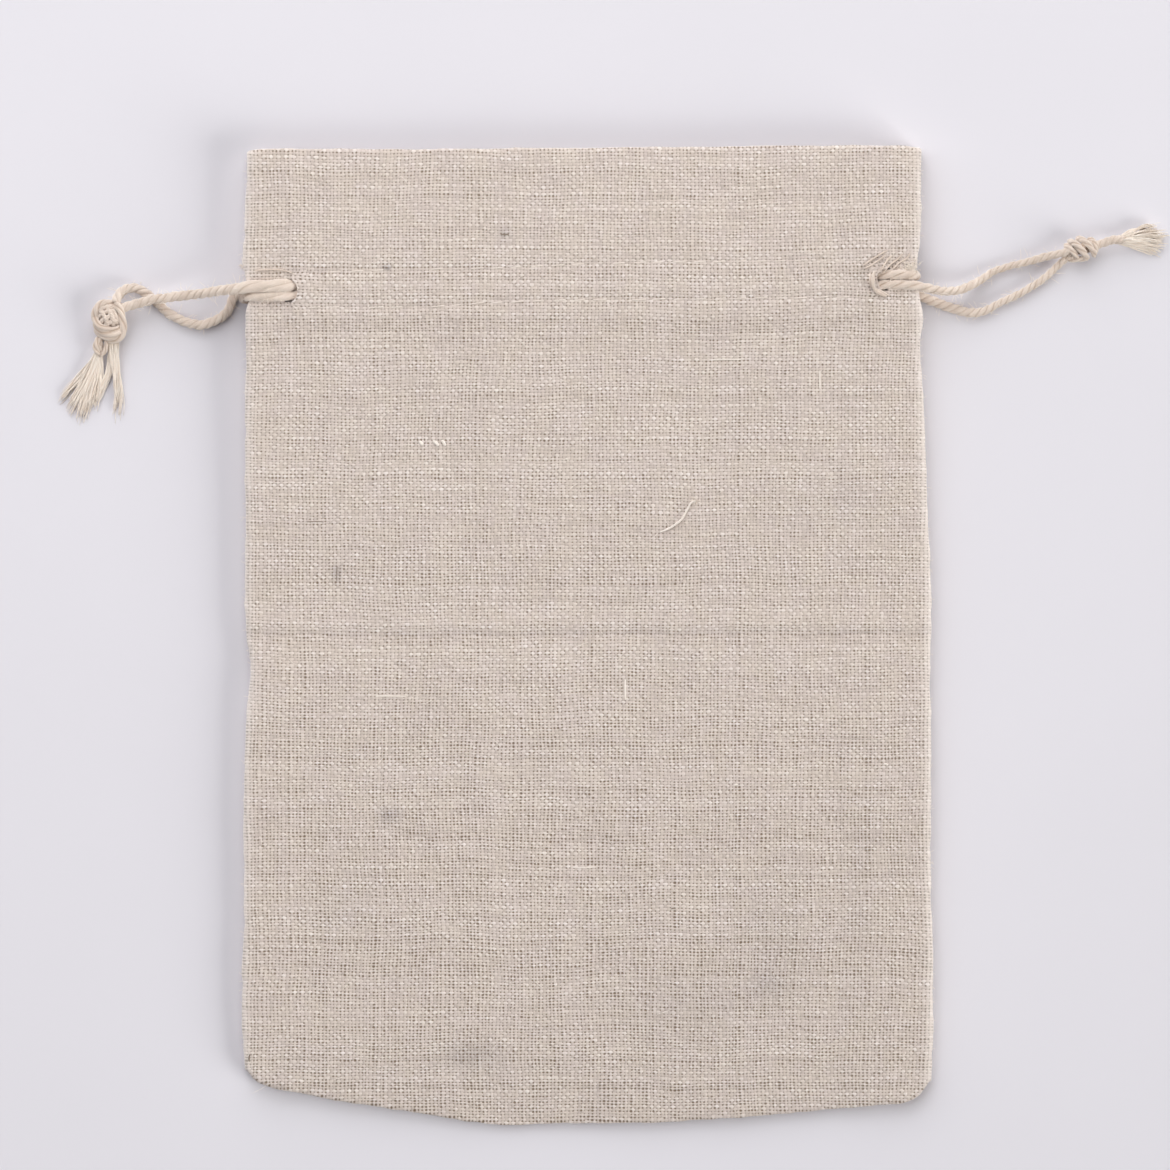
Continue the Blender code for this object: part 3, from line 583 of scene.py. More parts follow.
def weaveAxis(add, place, yarn):
    # Along one axis the yarns crowd and part a little: the way along it in mm, the yarn's number and how
    # far the point lies from its middle, the nearest gap's number and how far off that is.
    shifted = add("Math", [place, yarn["crowdStart"]], operation="ADD")
    crowd = add("TexNoise", {"W": shifted, "Scale": 0.6, "Detail": 2.0}, noise_dimensions="1D")
    run = add("Math", [crowd, yarn["crowd"], place], operation="MULTIPLY_ADD")
    at = add("Math", [run, yarn["pitch"]], operation="DIVIDE")
    gap = add("Math", [at], operation="ROUND")
    return {"run": run, "number": add("Math", [at], operation="FLOOR"),
            "within": add("Math", [add("Math", [at], operation="FRACT"), 0.5], operation="SUBTRACT"),
            "gap": gap, "gapAway": add("Math", [at, gap], operation="SUBTRACT")}


def yarnHeight(add, yarn, within, along, over, width):
    # a cosine along the yarn for its waviness, plus a half circle over its width; beyond that it falls away
    turn = add("Math", [along, pi], operation="MULTIPLY")
    wave = add("Math", [add("Math", [turn], operation="COSINE"), over], operation="MULTIPLY")
    share = add("Math", [within, width], operation="DIVIDE")
    square = add("Math", [share, share], operation="MULTIPLY")
    roundness = add("Math", [square, -4.0, 1.0], operation="MULTIPLY_ADD")
    arc = add("Math", [add("Math", [roundness, 0.0], operation="MAXIMUM")], operation="SQRT")
    outside = add("Math", [roundness, 0.0], operation="MINIMUM")
    raised = add("Math", [wave, yarn["lift"], arc], operation="MULTIPLY_ADD")
    return add("Math", [outside, 1.6, raised], operation="MULTIPLY_ADD")


def linenMaterial(name, weave):
    # flax yarn, thick and thin, in an open plain weave: matt and greige. The pinholes where the yarns cross
    # are painted dark as shade, and the crowns where each goes over are painted paler than the flanks, as
    # light falls
    material, add, shader = newMaterial(name)
    uv = add("UVMap", uv_map="thread")
    colour = {key: linearColour(hexCode) for key, hexCode in weave["colours"].items()}
    noise = {key: add("TexNoise", {"Vector": uv, "Scale": scale, "Detail": detail, "Roughness": rough},
                      noise_dimensions="2D") for key, (scale, detail, rough) in weave["noises"].items()}
    # how far a point of the cloth lies double, is stained or painted with shade, is painted with a highlight
    # at the sewn edges, or has larger pinholes
    mark = {key: add("Attribute", attribute_name=key).outputs["Fac"]
            for key in ("doubled", "stainAndShade", "wornAndLit", "loose")}
    # slow drift and quick waver of the yarns' lines, in mm
    place = uv
    for key, reach in (("drift", (1.5, 1.3, 0.0)), ("waver", (0.16, 0.16, 0.0))):
        place = add("VectorMath", [noise[key].outputs["Color"], reach, place], operation="MULTIPLY_ADD")
    places = add("SeparateXYZ", [place]).outputs
    axes = [weaveAxis(add, way, yarn) for way, yarn in zip(places, weave["yarns"])]
    run, number, within, gap, gapAway = ([axis[key] for axis in axes]
                                         for key in ("run", "number", "within", "gap", "gapAway"))

    # which yarn is over: +1 warp, -1 weft, in a chequer
    both = add("Math", number, operation="ADD")
    odd = add("Math", [both, 2.0], operation="FLOORED_MODULO")
    over = add("Math", [odd, 2.0, -1.0], operation="MULTIPLY_ADD")

    # openness: patches, columns and rows of the weave are more open, and each pinhole has its own size
    holeOwn = add("TexWhiteNoise", {"Vector": add("CombineXYZ", gap)}, noise_dimensions="2D")
    calm = add("Math", [noise["patchy"], 0.6], operation="MULTIPLY")
    openness = add("Math", [holeOwn, weave["holeOwn"], calm], operation="MULTIPLY_ADD")

    tops, tones = [], []
    for n, yarn in enumerate(weave["yarns"]):
        # each yarn's own thick and thin places: quick changes from yarn to yarn, slow ones along it
        key = [add("Math", [run[1 - n], yarn["slow"]], operation="MULTIPLY")] * 2
        key[n] = add("Math", [number[n], yarn["jump"]], operation="MULTIPLY")
        thick = add("TexNoise", {"Vector": add("CombineXYZ", key), "Scale": 1.0, "Detail": 3.0,
                                 "Roughness": 0.6}, noise_dimensions="2D")
        width = add("Math", [thick, 0.34, yarn["width"]], operation="MULTIPLY_ADD")
        tops.append(yarnHeight(add, yarn, within[n], within[1 - n], over, width))
        # tone: the yarn's own, and its slow change along its length
        ownPlace = add("Math", [number[n], yarn["ownStart"]], operation="ADD")
        own = add("TexWhiteNoise", {"W": ownPlace}, noise_dimensions="1D")
        thickTone = add("Math", [thick, yarn["thick"]], operation="MULTIPLY")
        tones.append(add("Math", [own, yarn["own"], thickTone], operation="MULTIPLY_ADD"))
        gapPlace = add("Math", [gap[n], yarn["gapStart"]], operation="ADD")
        gapOwn = add("TexWhiteNoise", {"W": gapPlace}, noise_dimensions="1D")
        openness = add("Math", [gapOwn, yarn["gap"], openness], operation="MULTIPLY_ADD")
    height = add("Math", [add("Math", tops, operation="MAXIMUM"), -0.4], operation="MAXIMUM")
    isWarp = add("Math", tops, operation="GREATER_THAN")

    # pinholes: one where four yarns meet, a soft round dot, painted dark as shade below
    away = add("VectorMath", [add("CombineXYZ", gapAway)], operation="LENGTH")
    largest = weave["hole"] + weave["holeSpread"]
    holeRoom = add("MapRange", {0: openness, 1: 0.27, 2: 1.04, 3: weave["hole"], 4: largest})
    # the pinholes grow towards the bottom, so the cloth is darker there
    growth = add("Math", [mark["loose"], 0.20, 0.96], operation="MULTIPLY_ADD")
    holeSize = add("Math", [holeRoom, growth], operation="MULTIPLY")
    holeCore = add("Math", [holeSize, weave["holeCore"]], operation="MULTIPLY")
    holeRim = add("Math", [holeSize, weave["holeRim"]], operation="MULTIPLY")
    shade = add("MapRange", {0: away.outputs["Value"], 1: holeCore, 2: holeRim},
                interpolation_type="SMOOTHSTEP")

    # fine flecks of fibre and each crown's own tone, over the yarn's, and painted light and shade by the
    # yarns' height: paler crowns, darker flanks
    tone = add("Mix", {0: isWarp, 2: tones[1], 3: tones[0]}, data_type="FLOAT")
    crownOwn = add("TexWhiteNoise", {"Vector": add("CombineXYZ", number)}, noise_dimensions="2D")
    fleckTone = add("Math", [noise["fleck"], 0.5, tone.outputs[0]], operation="MULTIPLY_ADD")
    crownTone = add("Math", [crownOwn, 0.30, fleckTone], operation="MULTIPLY_ADD")
    toneAndShade = add("Math", [height, 0.19, crownTone], operation="MULTIPLY_ADD")
    ramp = add("ValToRGB", [add("MapRange", {0: toneAndShade, 1: 0.48, 2: 1.56})])
    ramp.color_ramp.elements[0].color = colour["dark"]
    ramp.color_ramp.elements[1].color = colour["light"]
    ramp.color_ramp.elements.new(0.5).color = colour["middle"]

    # the pinholes are painted with shade: dark where nothing shows through, paler where a second layer lies
    # close beneath
    shadeBehind = add("Mix", {0: mark["doubled"], 6: colour["gap"], 7: colour["backedShade"]}, data_type="RGBA")
    woven = add("Mix", {0: shade, 6: shadeBehind.outputs[2], 7: ramp.outputs[0]}, data_type="RGBA")

    # patches of a warmer and a cooler tint, a few mm across, then the stains, with painted shade along the
    # crease and in broad soft dips
    coolness = add("MapRange", {0: noise["tints"], 1: 0.38, 2: 0.62})
    tint = add("Mix", {0: coolness, 6: colour["warm"], 7: colour["cool"]}, data_type="RGBA")
    tinted = add("Mix", {0: weave["tint"], 6: woven.outputs[2], 7: tint.outputs[2]},
                 data_type="RGBA", blend_type="MULTIPLY")
    stainedAndShaded = add("Mix", {0: mark["stainAndShade"], 6: tinted.outputs[2], 7: colour["stainAndShade"]},
                  data_type="RGBA", blend_type="MULTIPLY")
    # sewn edges painted paler: a painted highlight over the shade of their roll, partly broken fibres that
    # stand up and turn the colour paler
    rubbedAndLit = add("Math", [mark["wornAndLit"], weave["rubbedAndLit"]], operation="MULTIPLY")
    edged = add("Mix", {0: rubbedAndLit, 6: stainedAndShaded.outputs[2], 7: colour["fluffAndHighlight"]}, data_type="RGBA")

    matt = add("MapRange", {0: noise["fleck"], 1: 0.3, 2: 0.7, 3: 0.84, 4: 0.97})
    grain = add("Math", [noise["fleck"], 0.6, height], operation="MULTIPLY_ADD")
    sunk = add("Math", [shade, 0.8, grain], operation="MULTIPLY_ADD")
    relief = add("Bump", {"Strength": 0.6, "Distance": weave["relief"] * mm, "Height": sunk})
    plugIn(shader, {"Base Color": edged.outputs[2], "Roughness": matt, "Normal": relief,
                    "Diffuse Roughness": 0.8, "IOR": 1.5, "Specular IOR Level": 0.2,
                    "Sheen Weight": 0.2, "Sheen Roughness": 0.6})
    return material


linen = linenMaterial("linen_plain_weave", weaveSet)


# Both panels, in mm: the cloth's thickness, the fold at the mouth, the facing's lower edge, how far the
# facing's sides lie in, the seams' height and their rise over the cords, and the y between which rows lie
# closer together.
clothSet = {"thick": 0.5, "fold": 0.3, "facingEnd": 46.2, "facingIn": 0.45, "seam": 0.80, "seamRise": 1.6,
            "fineRows": (46.4, 56.0)}
# Each panel: the spacing of its grid, the radius and the steps in degrees of its rolled edges, how far its
# sides lie in from the outline, the cords' room, the way from the outer layer to the facing, and where its
# weave starts.
panelSets = {
    "back_panel": {"spacing": 0.95, "roll": 0.42, "turns": (0, 25, 55), "inset": 0.2, "room": 1.6, "way": 1.0,
                   "weaveStart": 500},
    "front_panel": {"spacing": 0.70, "roll": 0.48, "turns": (0, 18, 36, 54, 72), "inset": 0.0, "room": 1.85,
                    "way": -1.0, "weaveStart": 100},
}
# The channel's middle line at x = 0 and its rise to the right, and the slits' two sides and half length.
channelSet = {"middle": 50.95, "rise": 0.018, "slitIn": 42.35, "slitOut": 43.9, "slitHalf": 1.75}

# Outer edges: y, left x, right x.
sideEdges = [
    (-68.0, -49.3, 50.2), (-66.0, -49.8, 50.3), (-64.0, -50.0, 50.4), (-62.6, -50.2, 50.45),
    (-60.0, -50.35, 50.55), (-56.0, -50.6, 50.6), (-48.0, -50.55, 50.6), (-38.0, -50.2, 50.35),
    (-21.0, -50.25, 50.3), (-12.0, -49.8, 50.25), (-6.0, -49.35, 50.2), (1.0, -50.0, 50.25),
    (10.0, -50.15, 50.2), (20.0, -50.1, 49.6), (30.0, -50.0, 49.3), (37.0, -50.1, 49.0),
    (43.0, -50.1, 48.75), (46.5, -49.95, 48.95), (50.0, -49.6, 48.4), (53.0, -50.1, 48.1),
    (56.0, -50.5, 48.45), (58.5, -50.15, 48.75), (62.0, -50.1, 48.8), (68.0, -49.85, 48.9),
    (72.0, -49.75, 49.0),
]
# Bottom edge and mouth: share of the half width, y.
bottomEdge = [
    (-1.0, -63.9), (-0.985, -65.2), (-0.95, -66.1), (-0.91, -66.7), (-0.83, -67.5), (-0.72, -68.6),
    (-0.55, -69.8), (-0.38, -71.2), (-0.24, -71.8), (0.0, -71.6), (0.25, -71.2), (0.5, -70.5), (0.7, -69.6),
    (0.85, -69.0), (0.93, -68.4), (0.965, -67.8), (1.0, -65.4),
]
mouthEdge = [(-1.0, 70.5), (-0.96, 70.85), (-0.3, 70.9), (0.3, 71.2), (0.8, 71.4), (0.95, 71.3), (1.0, 71.05)]

# Height of the front's upper side over the middle and at the sides: y, middle z, side z.
faceHeights = [
    (-72.0, 1.4, 1.4), (-69.5, 1.8, 1.7), (-66.0, 2.3, 2.1), (-60.0, 2.8, 2.5), (-48.0, 3.1, 2.8),
    (-20.0, 3.5, 3.15), (5.0, 3.8, 3.4), (22.0, 4.2, 3.75), (34.0, 4.6, 4.1), (42.0, 5.0, 4.4),
    (47.0, 5.35, 4.6), (51.0, 5.5, 4.65), (55.0, 5.5, 4.65), (60.0, 5.4, 4.6), (66.0, 5.3, 4.5),
    (72.0, 5.2, 4.4),
]

# Unevenness of the sewn edges: a quick and a slow random wander, each with its size in mm and its reach in
# steps.
fraySet = {"steps": 640, "half": 80.0, "quick": (0.045, 2), "slow": (0.07, 9), "seed": 31}
frayRng = np.random.default_rng(fraySet["seed"])
frayed = {edge: sum(size * softNoise(frayRng, fraySet["steps"], reach)
                    for size, reach in (fraySet["quick"], fraySet["slow"]))
          for edge in ("left", "right", "bottom", "mouth")}


def edgeFray(at, edge):
    return np.interp(at, np.linspace(-fraySet["half"], fraySet["half"], fraySet["steps"]), frayed[edge])


def channelMiddle(x):
    return channelSet["middle"] + channelSet["rise"] * x


def channelShare(x, y):
    # 1 in the channel, fading to 0 towards the mouth and below the facing
    away = y - channelMiddle(x)
    return easeStep(1 - (away - 1.7) / 13.0) * easeStep(1 + (away + 1.7) / 7.0)


def slitInside(x):
    # 1 between the slits, 0 outside them, where the cords lie outside the cloth
    return easeStep((45.2 - np.abs(x)) / 3.2)


# Rumples of the cloth: the lengths of their waves in mm, and their height as a share of the length.
rumpleSet = {"lengths": (9, 11, 13, 16, 19, 24, 31, 43), "height": 0.0022, "seed": 12}
rumpleRng = np.random.default_rng(rumpleSet["seed"])
rumples = [(length, rumpleRng.uniform(0, pi), rumpleSet["height"] * length * rumpleRng.uniform(0.6, 1.3),
            rumpleRng.uniform(0, 6)) for length in rumpleSet["lengths"]]


def rumple(x, y):
    # gentle unevenness: a few sine waves, each with its own length, heading and height
    total = np.zeros(np.broadcast(x, y).shape)
    for length, heading, size, start in rumples:
        way = x * math.cos(heading) + y * math.sin(heading)
        total = total + size * np.sin(2 * pi * way / length + start)
    return total


# Stitching, in mm: the thread's radius on both panels, the stitch and its pitch, where the rows start and
# end, and the x and y of each row.
stitchSet = {
    "thread": 0.10, "backThread": 0.09, "length": 2.6, "pitch": 2.95, "from": -41.0, "to": 41.0, "seed": 21,
    "rows": [
        [(-43.4, 47.8), (-24.5, 47.85), (-14.2, 48.4), (-2.6, 48.8), (12.0, 48.85), (24.0, 49.1),
         (43.0, 49.2)],
        [(-43.4, 52.9), (-15.7, 53.4), (-1.1, 54.0), (13.5, 54.4), (38.3, 54.5), (43.0, 54.4)],
    ],
}


def stitchY(x, line):
    # row 0 lies below the channel and row 1 above it
    return readTable(stitchSet["rows"][line], x)


def creaseY(x):
    # the crease runs straight across, but for a slight waver
    return 0.2 + 0.15 * np.sin(x / 17.0)


def frontHeight(x, y):
    # upper side of the front: the middle height falls to the side height as 1 - |share| to the power 5, and
    # in the channel it stays up as far as the slits
    share = np.abs(x) / 50.0
    middle, side = readTable(faceHeights, y), readTable(faceHeights, y, 2)
    band = channelShare(x, y)
    fall = (1 - band) * (1 - share ** 5) + band * (0.25 * (1 - share ** 5) + 0.75 * slitInside(x))
    z = side + (middle - side) * np.clip(fall, 0, 1)
    # the seam allowances inside raise the cloth a little, 7 mm wide on the left and 13 mm on the right
    z = z + 0.16 * (1 - easeStep((x + 43.4) / 1.6)) + 0.18 * easeStep((x - 36.2) / 1.8)
    # one sharp crease, from being folded, and a soft swell above it
    away = y - creaseY(x)
    z = z - 0.26 * np.exp(-(away / 0.5) ** 2) + 0.08 * np.exp(-((away - 1.5) / 1.0) ** 2)
    # the stitches draw the cloth down, and the facing's edge shows through as a small step
    for line in (0, 1):
        z = z - 0.17 * np.exp(-((y - stitchY(x, line)) / 0.5) ** 2) * slitInside(x)
    z = z - 0.12 * easeStep((clothSet["facingEnd"] + 0.6 - y) / 1.3)
    # the slits' inner lips are lifted by the cords that come out under them
    for middleX in (-42.0, 42.0):
        away = ((x - middleX) / 2.4) ** 2 + ((y - channelMiddle(x)) / 2.2) ** 2
        z = z + 0.35 * np.exp(-away)
    return z + rumple(x, y) * (0.35 + 0.65 * (1 - share ** 4))


def backHeight(x, y):
    # middle of the back's outer layer: on the floor, but over the cords between each slit and the edge
    over = easeStep(1.6 - np.abs((y - channelMiddle(x)) / 4.6))
    return 0.36 + 1.55 * (1 - slitInside(x)) * over


def layerHeight(x, y, front):
    # middle of the outer layer
    return frontHeight(x, y) - clothSet["thick"] / 2 if front else backHeight(x, y)


def seamHeight(x, y):
    # the side seams rise where the cords pass between slit and edge
    return clothSet["seam"] + clothSet["seamRise"] * channelShare(x, y) * (1 - slitInside(x))


stainAndShadeSpots = [
    # x, y, radius across, radius along, strength
    (-29.0, -26.4, 1.6, 1.2, 0.35), (-17.0, -61.5, 5.0, 2.0, 0.28), (26.5, -51.3, 3.0, 1.8, 0.22),
    (-12.0, 58.4, 0.9, 0.9, 0.3), (-36.6, 8.9, 0.35, 1.3, 0.8), (-29.3, 53.5, 0.45, 0.45, 0.8),
    # these broad faint ones are painted shade of soft dips and folds in the cloth, not stains
    (35.0, 20.0, 6.0, 4.0, 0.08), (-35.0, -40.0, 5.0, 4.0, 0.08), (15.0, -55.0, 9.0, 5.0, 0.12),
    (28.0, -44.0, 6.0, 9.0, 0.10), (40.0, -40.0, 2.5, 18.0, 0.07),
]


def panelColumns(panel):
    # Each column's share of the flat half width, its angle round the rolled side, and which side that is.
    # The flat columns are even, but for one on each side of each slit.
    turns = np.radians(panel["turns"])
    even = np.linspace(-1, 1, int(100 / panel["spacing"]))
    marks = np.array([side * channelSet[edge] for side in (-1, 1) for edge in ("slitIn", "slitOut")]) / 49.0
    flat = np.sort(np.concatenate([even[np.abs(even[:, None] - marks).min(1) > 0.006], marks]))
    ends = np.ones(len(turns))
    share = np.concatenate([-ends, flat, ends])
    turn = np.concatenate([turns, np.full(len(flat), pi / 2), turns[::-1]])
    return share, turn, np.concatenate([-ends, 0 * flat, ends])


def acrossAt(y, panel, columns, further=0.0):
    # x = centre + share of the half width, and (roll - thick / 2) cos(turn) further out on the rolled sides
    share, turn, side = columns
    left = readTable(sideEdges, y) + edgeFray(y, "left") + panel["inset"]
    right = readTable(sideEdges, y, 2) + edgeFray(y, "right") - panel["inset"]
    centre, half = (left + right) / 2, (right - left) / 2 - panel["roll"]
    return centre + share * half + side * ((panel["roll"] - clothSet["thick"] / 2 - further) * np.cos(turn))


def outerLayer(panel, columns, front):
    # the bottom's rolled edge, then the cloth up to the fold at the mouth
    share, turn, _ = columns
    turns = np.radians(panel["turns"])
    lean, spacing, (low, high) = panel["roll"] - clothSet["thick"] / 2, panel["spacing"], clothSet["fineRows"]
    bottom = readTable(bottomEdge, share) + panel["roll"] + edgeFray(50 * share, "bottom")
    mouth = readTable(mouthEdge, share) - clothSet["thick"] / 2 - clothSet["fold"]
    mouth = mouth + 0.6 * edgeFray(50 * share, "mouth")
    body = np.linspace(0, 1, int((low + 70) / spacing))[:, None]
    fine = np.linspace(0, 1, int((high - low) / (0.5 * spacing + 0.05)))[1:, None]
    top = np.linspace(0, 1, int((71 - high) / spacing))[1:, None]
    y = np.concatenate([np.tile(bottom, (len(turns), 1)), bottom + (low - bottom) * body,
                        low + (high - low) * fine + 0 * bottom, high + (mouth - high) * top])
    x = acrossAt(y, panel, columns)
    # each side is drawn in a little where a cord turns round it
    notch = np.where(x > 0, 0.9 * np.exp(-((y - 52.4) / 0.9) ** 2), 0.35 * np.exp(-(y - 49.2) ** 2))
    x = x - np.sign(x) * notch * easeStep((np.abs(x) - 42.0) / 6.0)
    # height: from the seam up to the flat height by sin(turn), from the sides and from the bottom
    flatZ = layerHeight(x, y, front)
    seamZ = seamHeight(x, y) + 0.05 if front else np.maximum(seamHeight(x, y) - 0.1, flatZ + 0.35)
    rise = np.ones(len(y))
    rise[:len(turns)] = np.sin(turns)
    z = seamZ + (flatZ - seamZ) * (np.sin(turn) * rise[:, None])
    y[:len(turns)] -= lean * np.cos(turns)[:, None]
    return np.stack([x, y, z], -1)


def foldAndFacing(panel, columns, top, front):
    # Half a turn at the mouth, then the facing down inside, clear of the outer layer by the cords' room in
    # the channel. top is the outer layer's last row.
    fold, way = clothSet["fold"], panel["way"]
    x, y, z = top.T
    turns = np.linspace(pi / 2, -pi / 2, 7)[1:-1, None]
    over = np.stack([x + 0 * turns, y + fold * np.cos(turns), z + way * fold * (1 - np.sin(turns))], -1)
    down = np.linspace(0, 1, int(25 / (1.6 * panel["spacing"])))[:, None]
    y = y + (clothSet["facingEnd"] - y) * down
    x = acrossAt(y, panel, columns, clothSet["facingIn"])
    room = 2 * fold + panel["room"] * channelShare(x, y) * slitInside(x) + 0.05
    seamZ = seamHeight(x, y)
    z = seamZ + (layerHeight(x, y, front) + way * room - seamZ) * np.sin(columns[1])
    return np.concatenate([over, np.stack([x, y, z], -1)])


def slitCurve(x, y):
    # how far the slits' inner lips lean outwards above and below their middle, for a half moon opening
    inner, outer, half = channelSet["slitIn"], channelSet["slitOut"], channelSet["slitHalf"]
    away = y - channelMiddle(np.sign(x) * inner)
    lens = np.sqrt(np.clip(1 - (away / half) ** 2, 0, 1))
    nearLip = np.exp(-np.clip(inner - np.abs(x), 0, None) / 1.6) * (np.abs(x) < inner + 0.4)
    inBand = np.clip(1 - (np.abs(away) - half), 0, 1)
    return np.sign(x) * ((outer - inner - 0.5) * (1 - lens) * nearLip * inBand)


def cellsKept(x, y, outerRows):
    # the cells of the sheet, without those in the slits, which only the outer layer has
    x, y = (x[:-1, :-1] + x[1:, 1:]) / 2, (y[:-1, :-1] + y[1:, 1:]) / 2
    slit = (np.abs(x) > channelSet["slitIn"]) & (np.abs(x) < channelSet["slitOut"])
    slit &= np.abs(y - channelMiddle(np.sign(x) * channelSet["slitIn"])) < channelSet["slitHalf"]
    slit[outerRows - 1:] = False
    return ~slit


def sheetFaces(keep, front):
    # a face on both sides of each kept cell. Where a cell has no neighbour, a face joins the two sides. The
    # back's cells run the other way round.
    rows, columns = keep.shape[0] + 1, keep.shape[1] + 1
    number = np.arange(rows * columns).reshape(rows, columns)
    quad = np.stack([number[:-1, :-1], number[:-1, 1:], number[1:, 1:], number[1:, :-1]], -1)
    if not front:
        quad = quad[..., ::-1]
    faces = [quad[keep], quad[keep][:, ::-1] + number.size]
    padded = np.pad(keep, 1)
    for (down, over), (a, b) in {(-1, 0): (0, 1), (0, 1): (1, 2), (1, 0): (2, 3), (0, -1): (3, 0)}.items():
        bare = keep & ~padded[1 + down:rows + down, 1 + over:columns + over]
        p, q = quad[bare][:, a if front else 3 - a], quad[bare][:, b if front else 3 - b]
        p, q = (q, p) if front else (p, q)
        faces.append(np.stack([p, q, q + number.size, p + number.size], -1))
    return np.concatenate(faces)


def unroll(flat, grid, first, last):
    # a coordinate of the flat rows first to last, carried on before and after them by the way along the cloth
    step = np.linalg.norm(np.diff(grid, axis=0), axis=-1)
    flat[:first] = flat[first] - np.cumsum(step[:first][::-1], 0)[::-1]
    flat[last + 1:] = flat[last] + np.cumsum(step[last:], 0)


def clothMarks(x, y, outerRows, front):
    # How far a second layer lies close beneath, at the header, the channel and the seam allowances, which
    # pales the pinholes' painted shade; the stains, with painted shade along the crease and in broad soft
    # dips, on the outside of the front; a painted highlight along the sewn edges, partly rubbed pale fluffy
    # fibre;
    # and larger pinholes towards the bottom, so the cloth is darker there.
    facingBelow = easeStep((y - clothSet["facingEnd"] - 0.2) / 1.0)
    allowance = 1 - easeStep((x + 43.2) / 0.8) + easeStep((x - 36.6) / 1.0)
    stainAndShade = np.zeros_like(x)
    if front:
        for spotX, spotY, across, along, strength in stainAndShadeSpots:
            stainAndShade += strength * np.exp(-((x - spotX) / across) ** 2 - ((y - spotY) / along) ** 2)
        # painted shade along the crease
        stainAndShade += 0.13 * np.exp(-((y - creaseY(x)) / 0.4) ** 2)
        stainAndShade[outerRows:] = 0
    inwards = np.minimum(x - readTable(sideEdges, y), readTable(sideEdges, y, 2) - x)
    return {"doubled": np.clip(facingBelow + 0.8 * allowance, 0, 1), "stainAndShade": np.clip(stainAndShade, 0, 1),
            "wornAndLit": np.exp(-np.clip(inwards, 0, None) ** 2), "loose": easeStep((48.0 - y) / 115.0)}


def makePanel(node, front):
    # a folded sheet: rolled bottom edge, body, channel, header, fold at the mouth, and the facing down inside
    panel = panelSets[node]
    columns, rolled = panelColumns(panel), len(panel["turns"])
    grid = outerLayer(panel, columns, front)
    outerRows = len(grid)
    grid = np.concatenate([grid, foldAndFacing(panel, columns, grid[-1], front)])
    x, y = grid[..., 0].copy(), grid[..., 1].copy()
    grid[:outerRows, :, 0] += slitCurve(x, y)[:outerRows]
    # both faces of the cloth: half its thickness along the grid's normal, up and down
    normal = unit(np.cross(np.gradient(grid, axis=1), np.gradient(grid, axis=0))) * (1 if front else -1)
    half = normal * clothSet["thick"] / 2
    points = np.concatenate([(grid + half).reshape(-1, 3), (grid - half).reshape(-1, 3)])
    points[:, 2] = np.maximum(points[:, 2], 0.04)
    faces = sheetFaces(cellsKept(x, y, outerRows), front)
    # uv in mm on the flat sheet, so that the weave goes on round the rolls and over the fold
    u, v = x.copy(), y.copy()
    unroll(v, grid, rolled, outerRows - 1)
    unroll(u.T, grid.transpose(1, 0, 2), rolled, u.shape[1] - rolled - 1)
    u = np.concatenate([u.ravel(), u.ravel() + 0.27])
    v = np.tile(v.ravel(), 2) + panel["weaveStart"]
    uv = np.stack([u[faces], v[faces]], -1).reshape(-1, 2)
    marks = {key: np.tile(values.ravel(), 2) for key, values in clothMarks(x, y, outerRows, front).items()}
    piece = makePiece(node + "_linen", points, [faces], linen, uv, marks, 70)
    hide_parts(node)
    print(f"{node}: {len(faces)} faces")
    return piece


backPanel = makePanel("back_panel", False)
frontPanel = makePanel("front_panel", True)


def makeStitches(name, front):
    # each stitch is a short thread lying on the cloth that dives into it at both ends
    rng = np.random.default_rng(stitchSet["seed"] + front)
    parts = []
    for line in (0, 1):
        starts = np.arange(stitchSet["from"], stitchSet["to"] - stitchSet["length"], stitchSet["pitch"])
        starts = starts + rng.normal(0, 0.08, len(starts))
        t = np.linspace(0, 1, 13)
        x = starts[:, None] + (stitchSet["length"] + rng.normal(0, 0.12, len(starts)))[:, None] * t
        y = stitchY(x, line) + rng.normal(0, 0.05, len(starts))[:, None] + (t - 0.5) * 0.16
        dive = 1 - np.clip(4 * np.minimum(t, 1 - t), 0, 1) ** 0.7
        if front:
            z = frontHeight(x, y) + 0.01 - 0.4 * dive + rng.normal(0, 0.07, len(starts))[:, None]
        else:
            z = 0.09 + 0.3 * dive + 0 * x
        middle = np.stack([x, y, z], -1)
        _, sideways, upwards = framesAlong(middle, (0, 1, 0))
        thread = stitchSet["thread" if front else "backThread"]
        points, faces, uv, a = tubes(middle, sideways, upwards, thread, thread * 0.9, 8)
        # painted shade: each stitch's underside darker, its top paler
        parts.append((points, faces, uv, 0.4 + 0.3 * np.sin(a)))
    points, faces, uv, crownShade = joinParts(parts)
    return makePiece(name, points, faces, threadCotton, uv, {"crownShade": crownShade})


frontStitches = makeStitches("channel_stitches_front", True)
backStitches = makeStitches("channel_stitches_back", False)
print("stitches made")


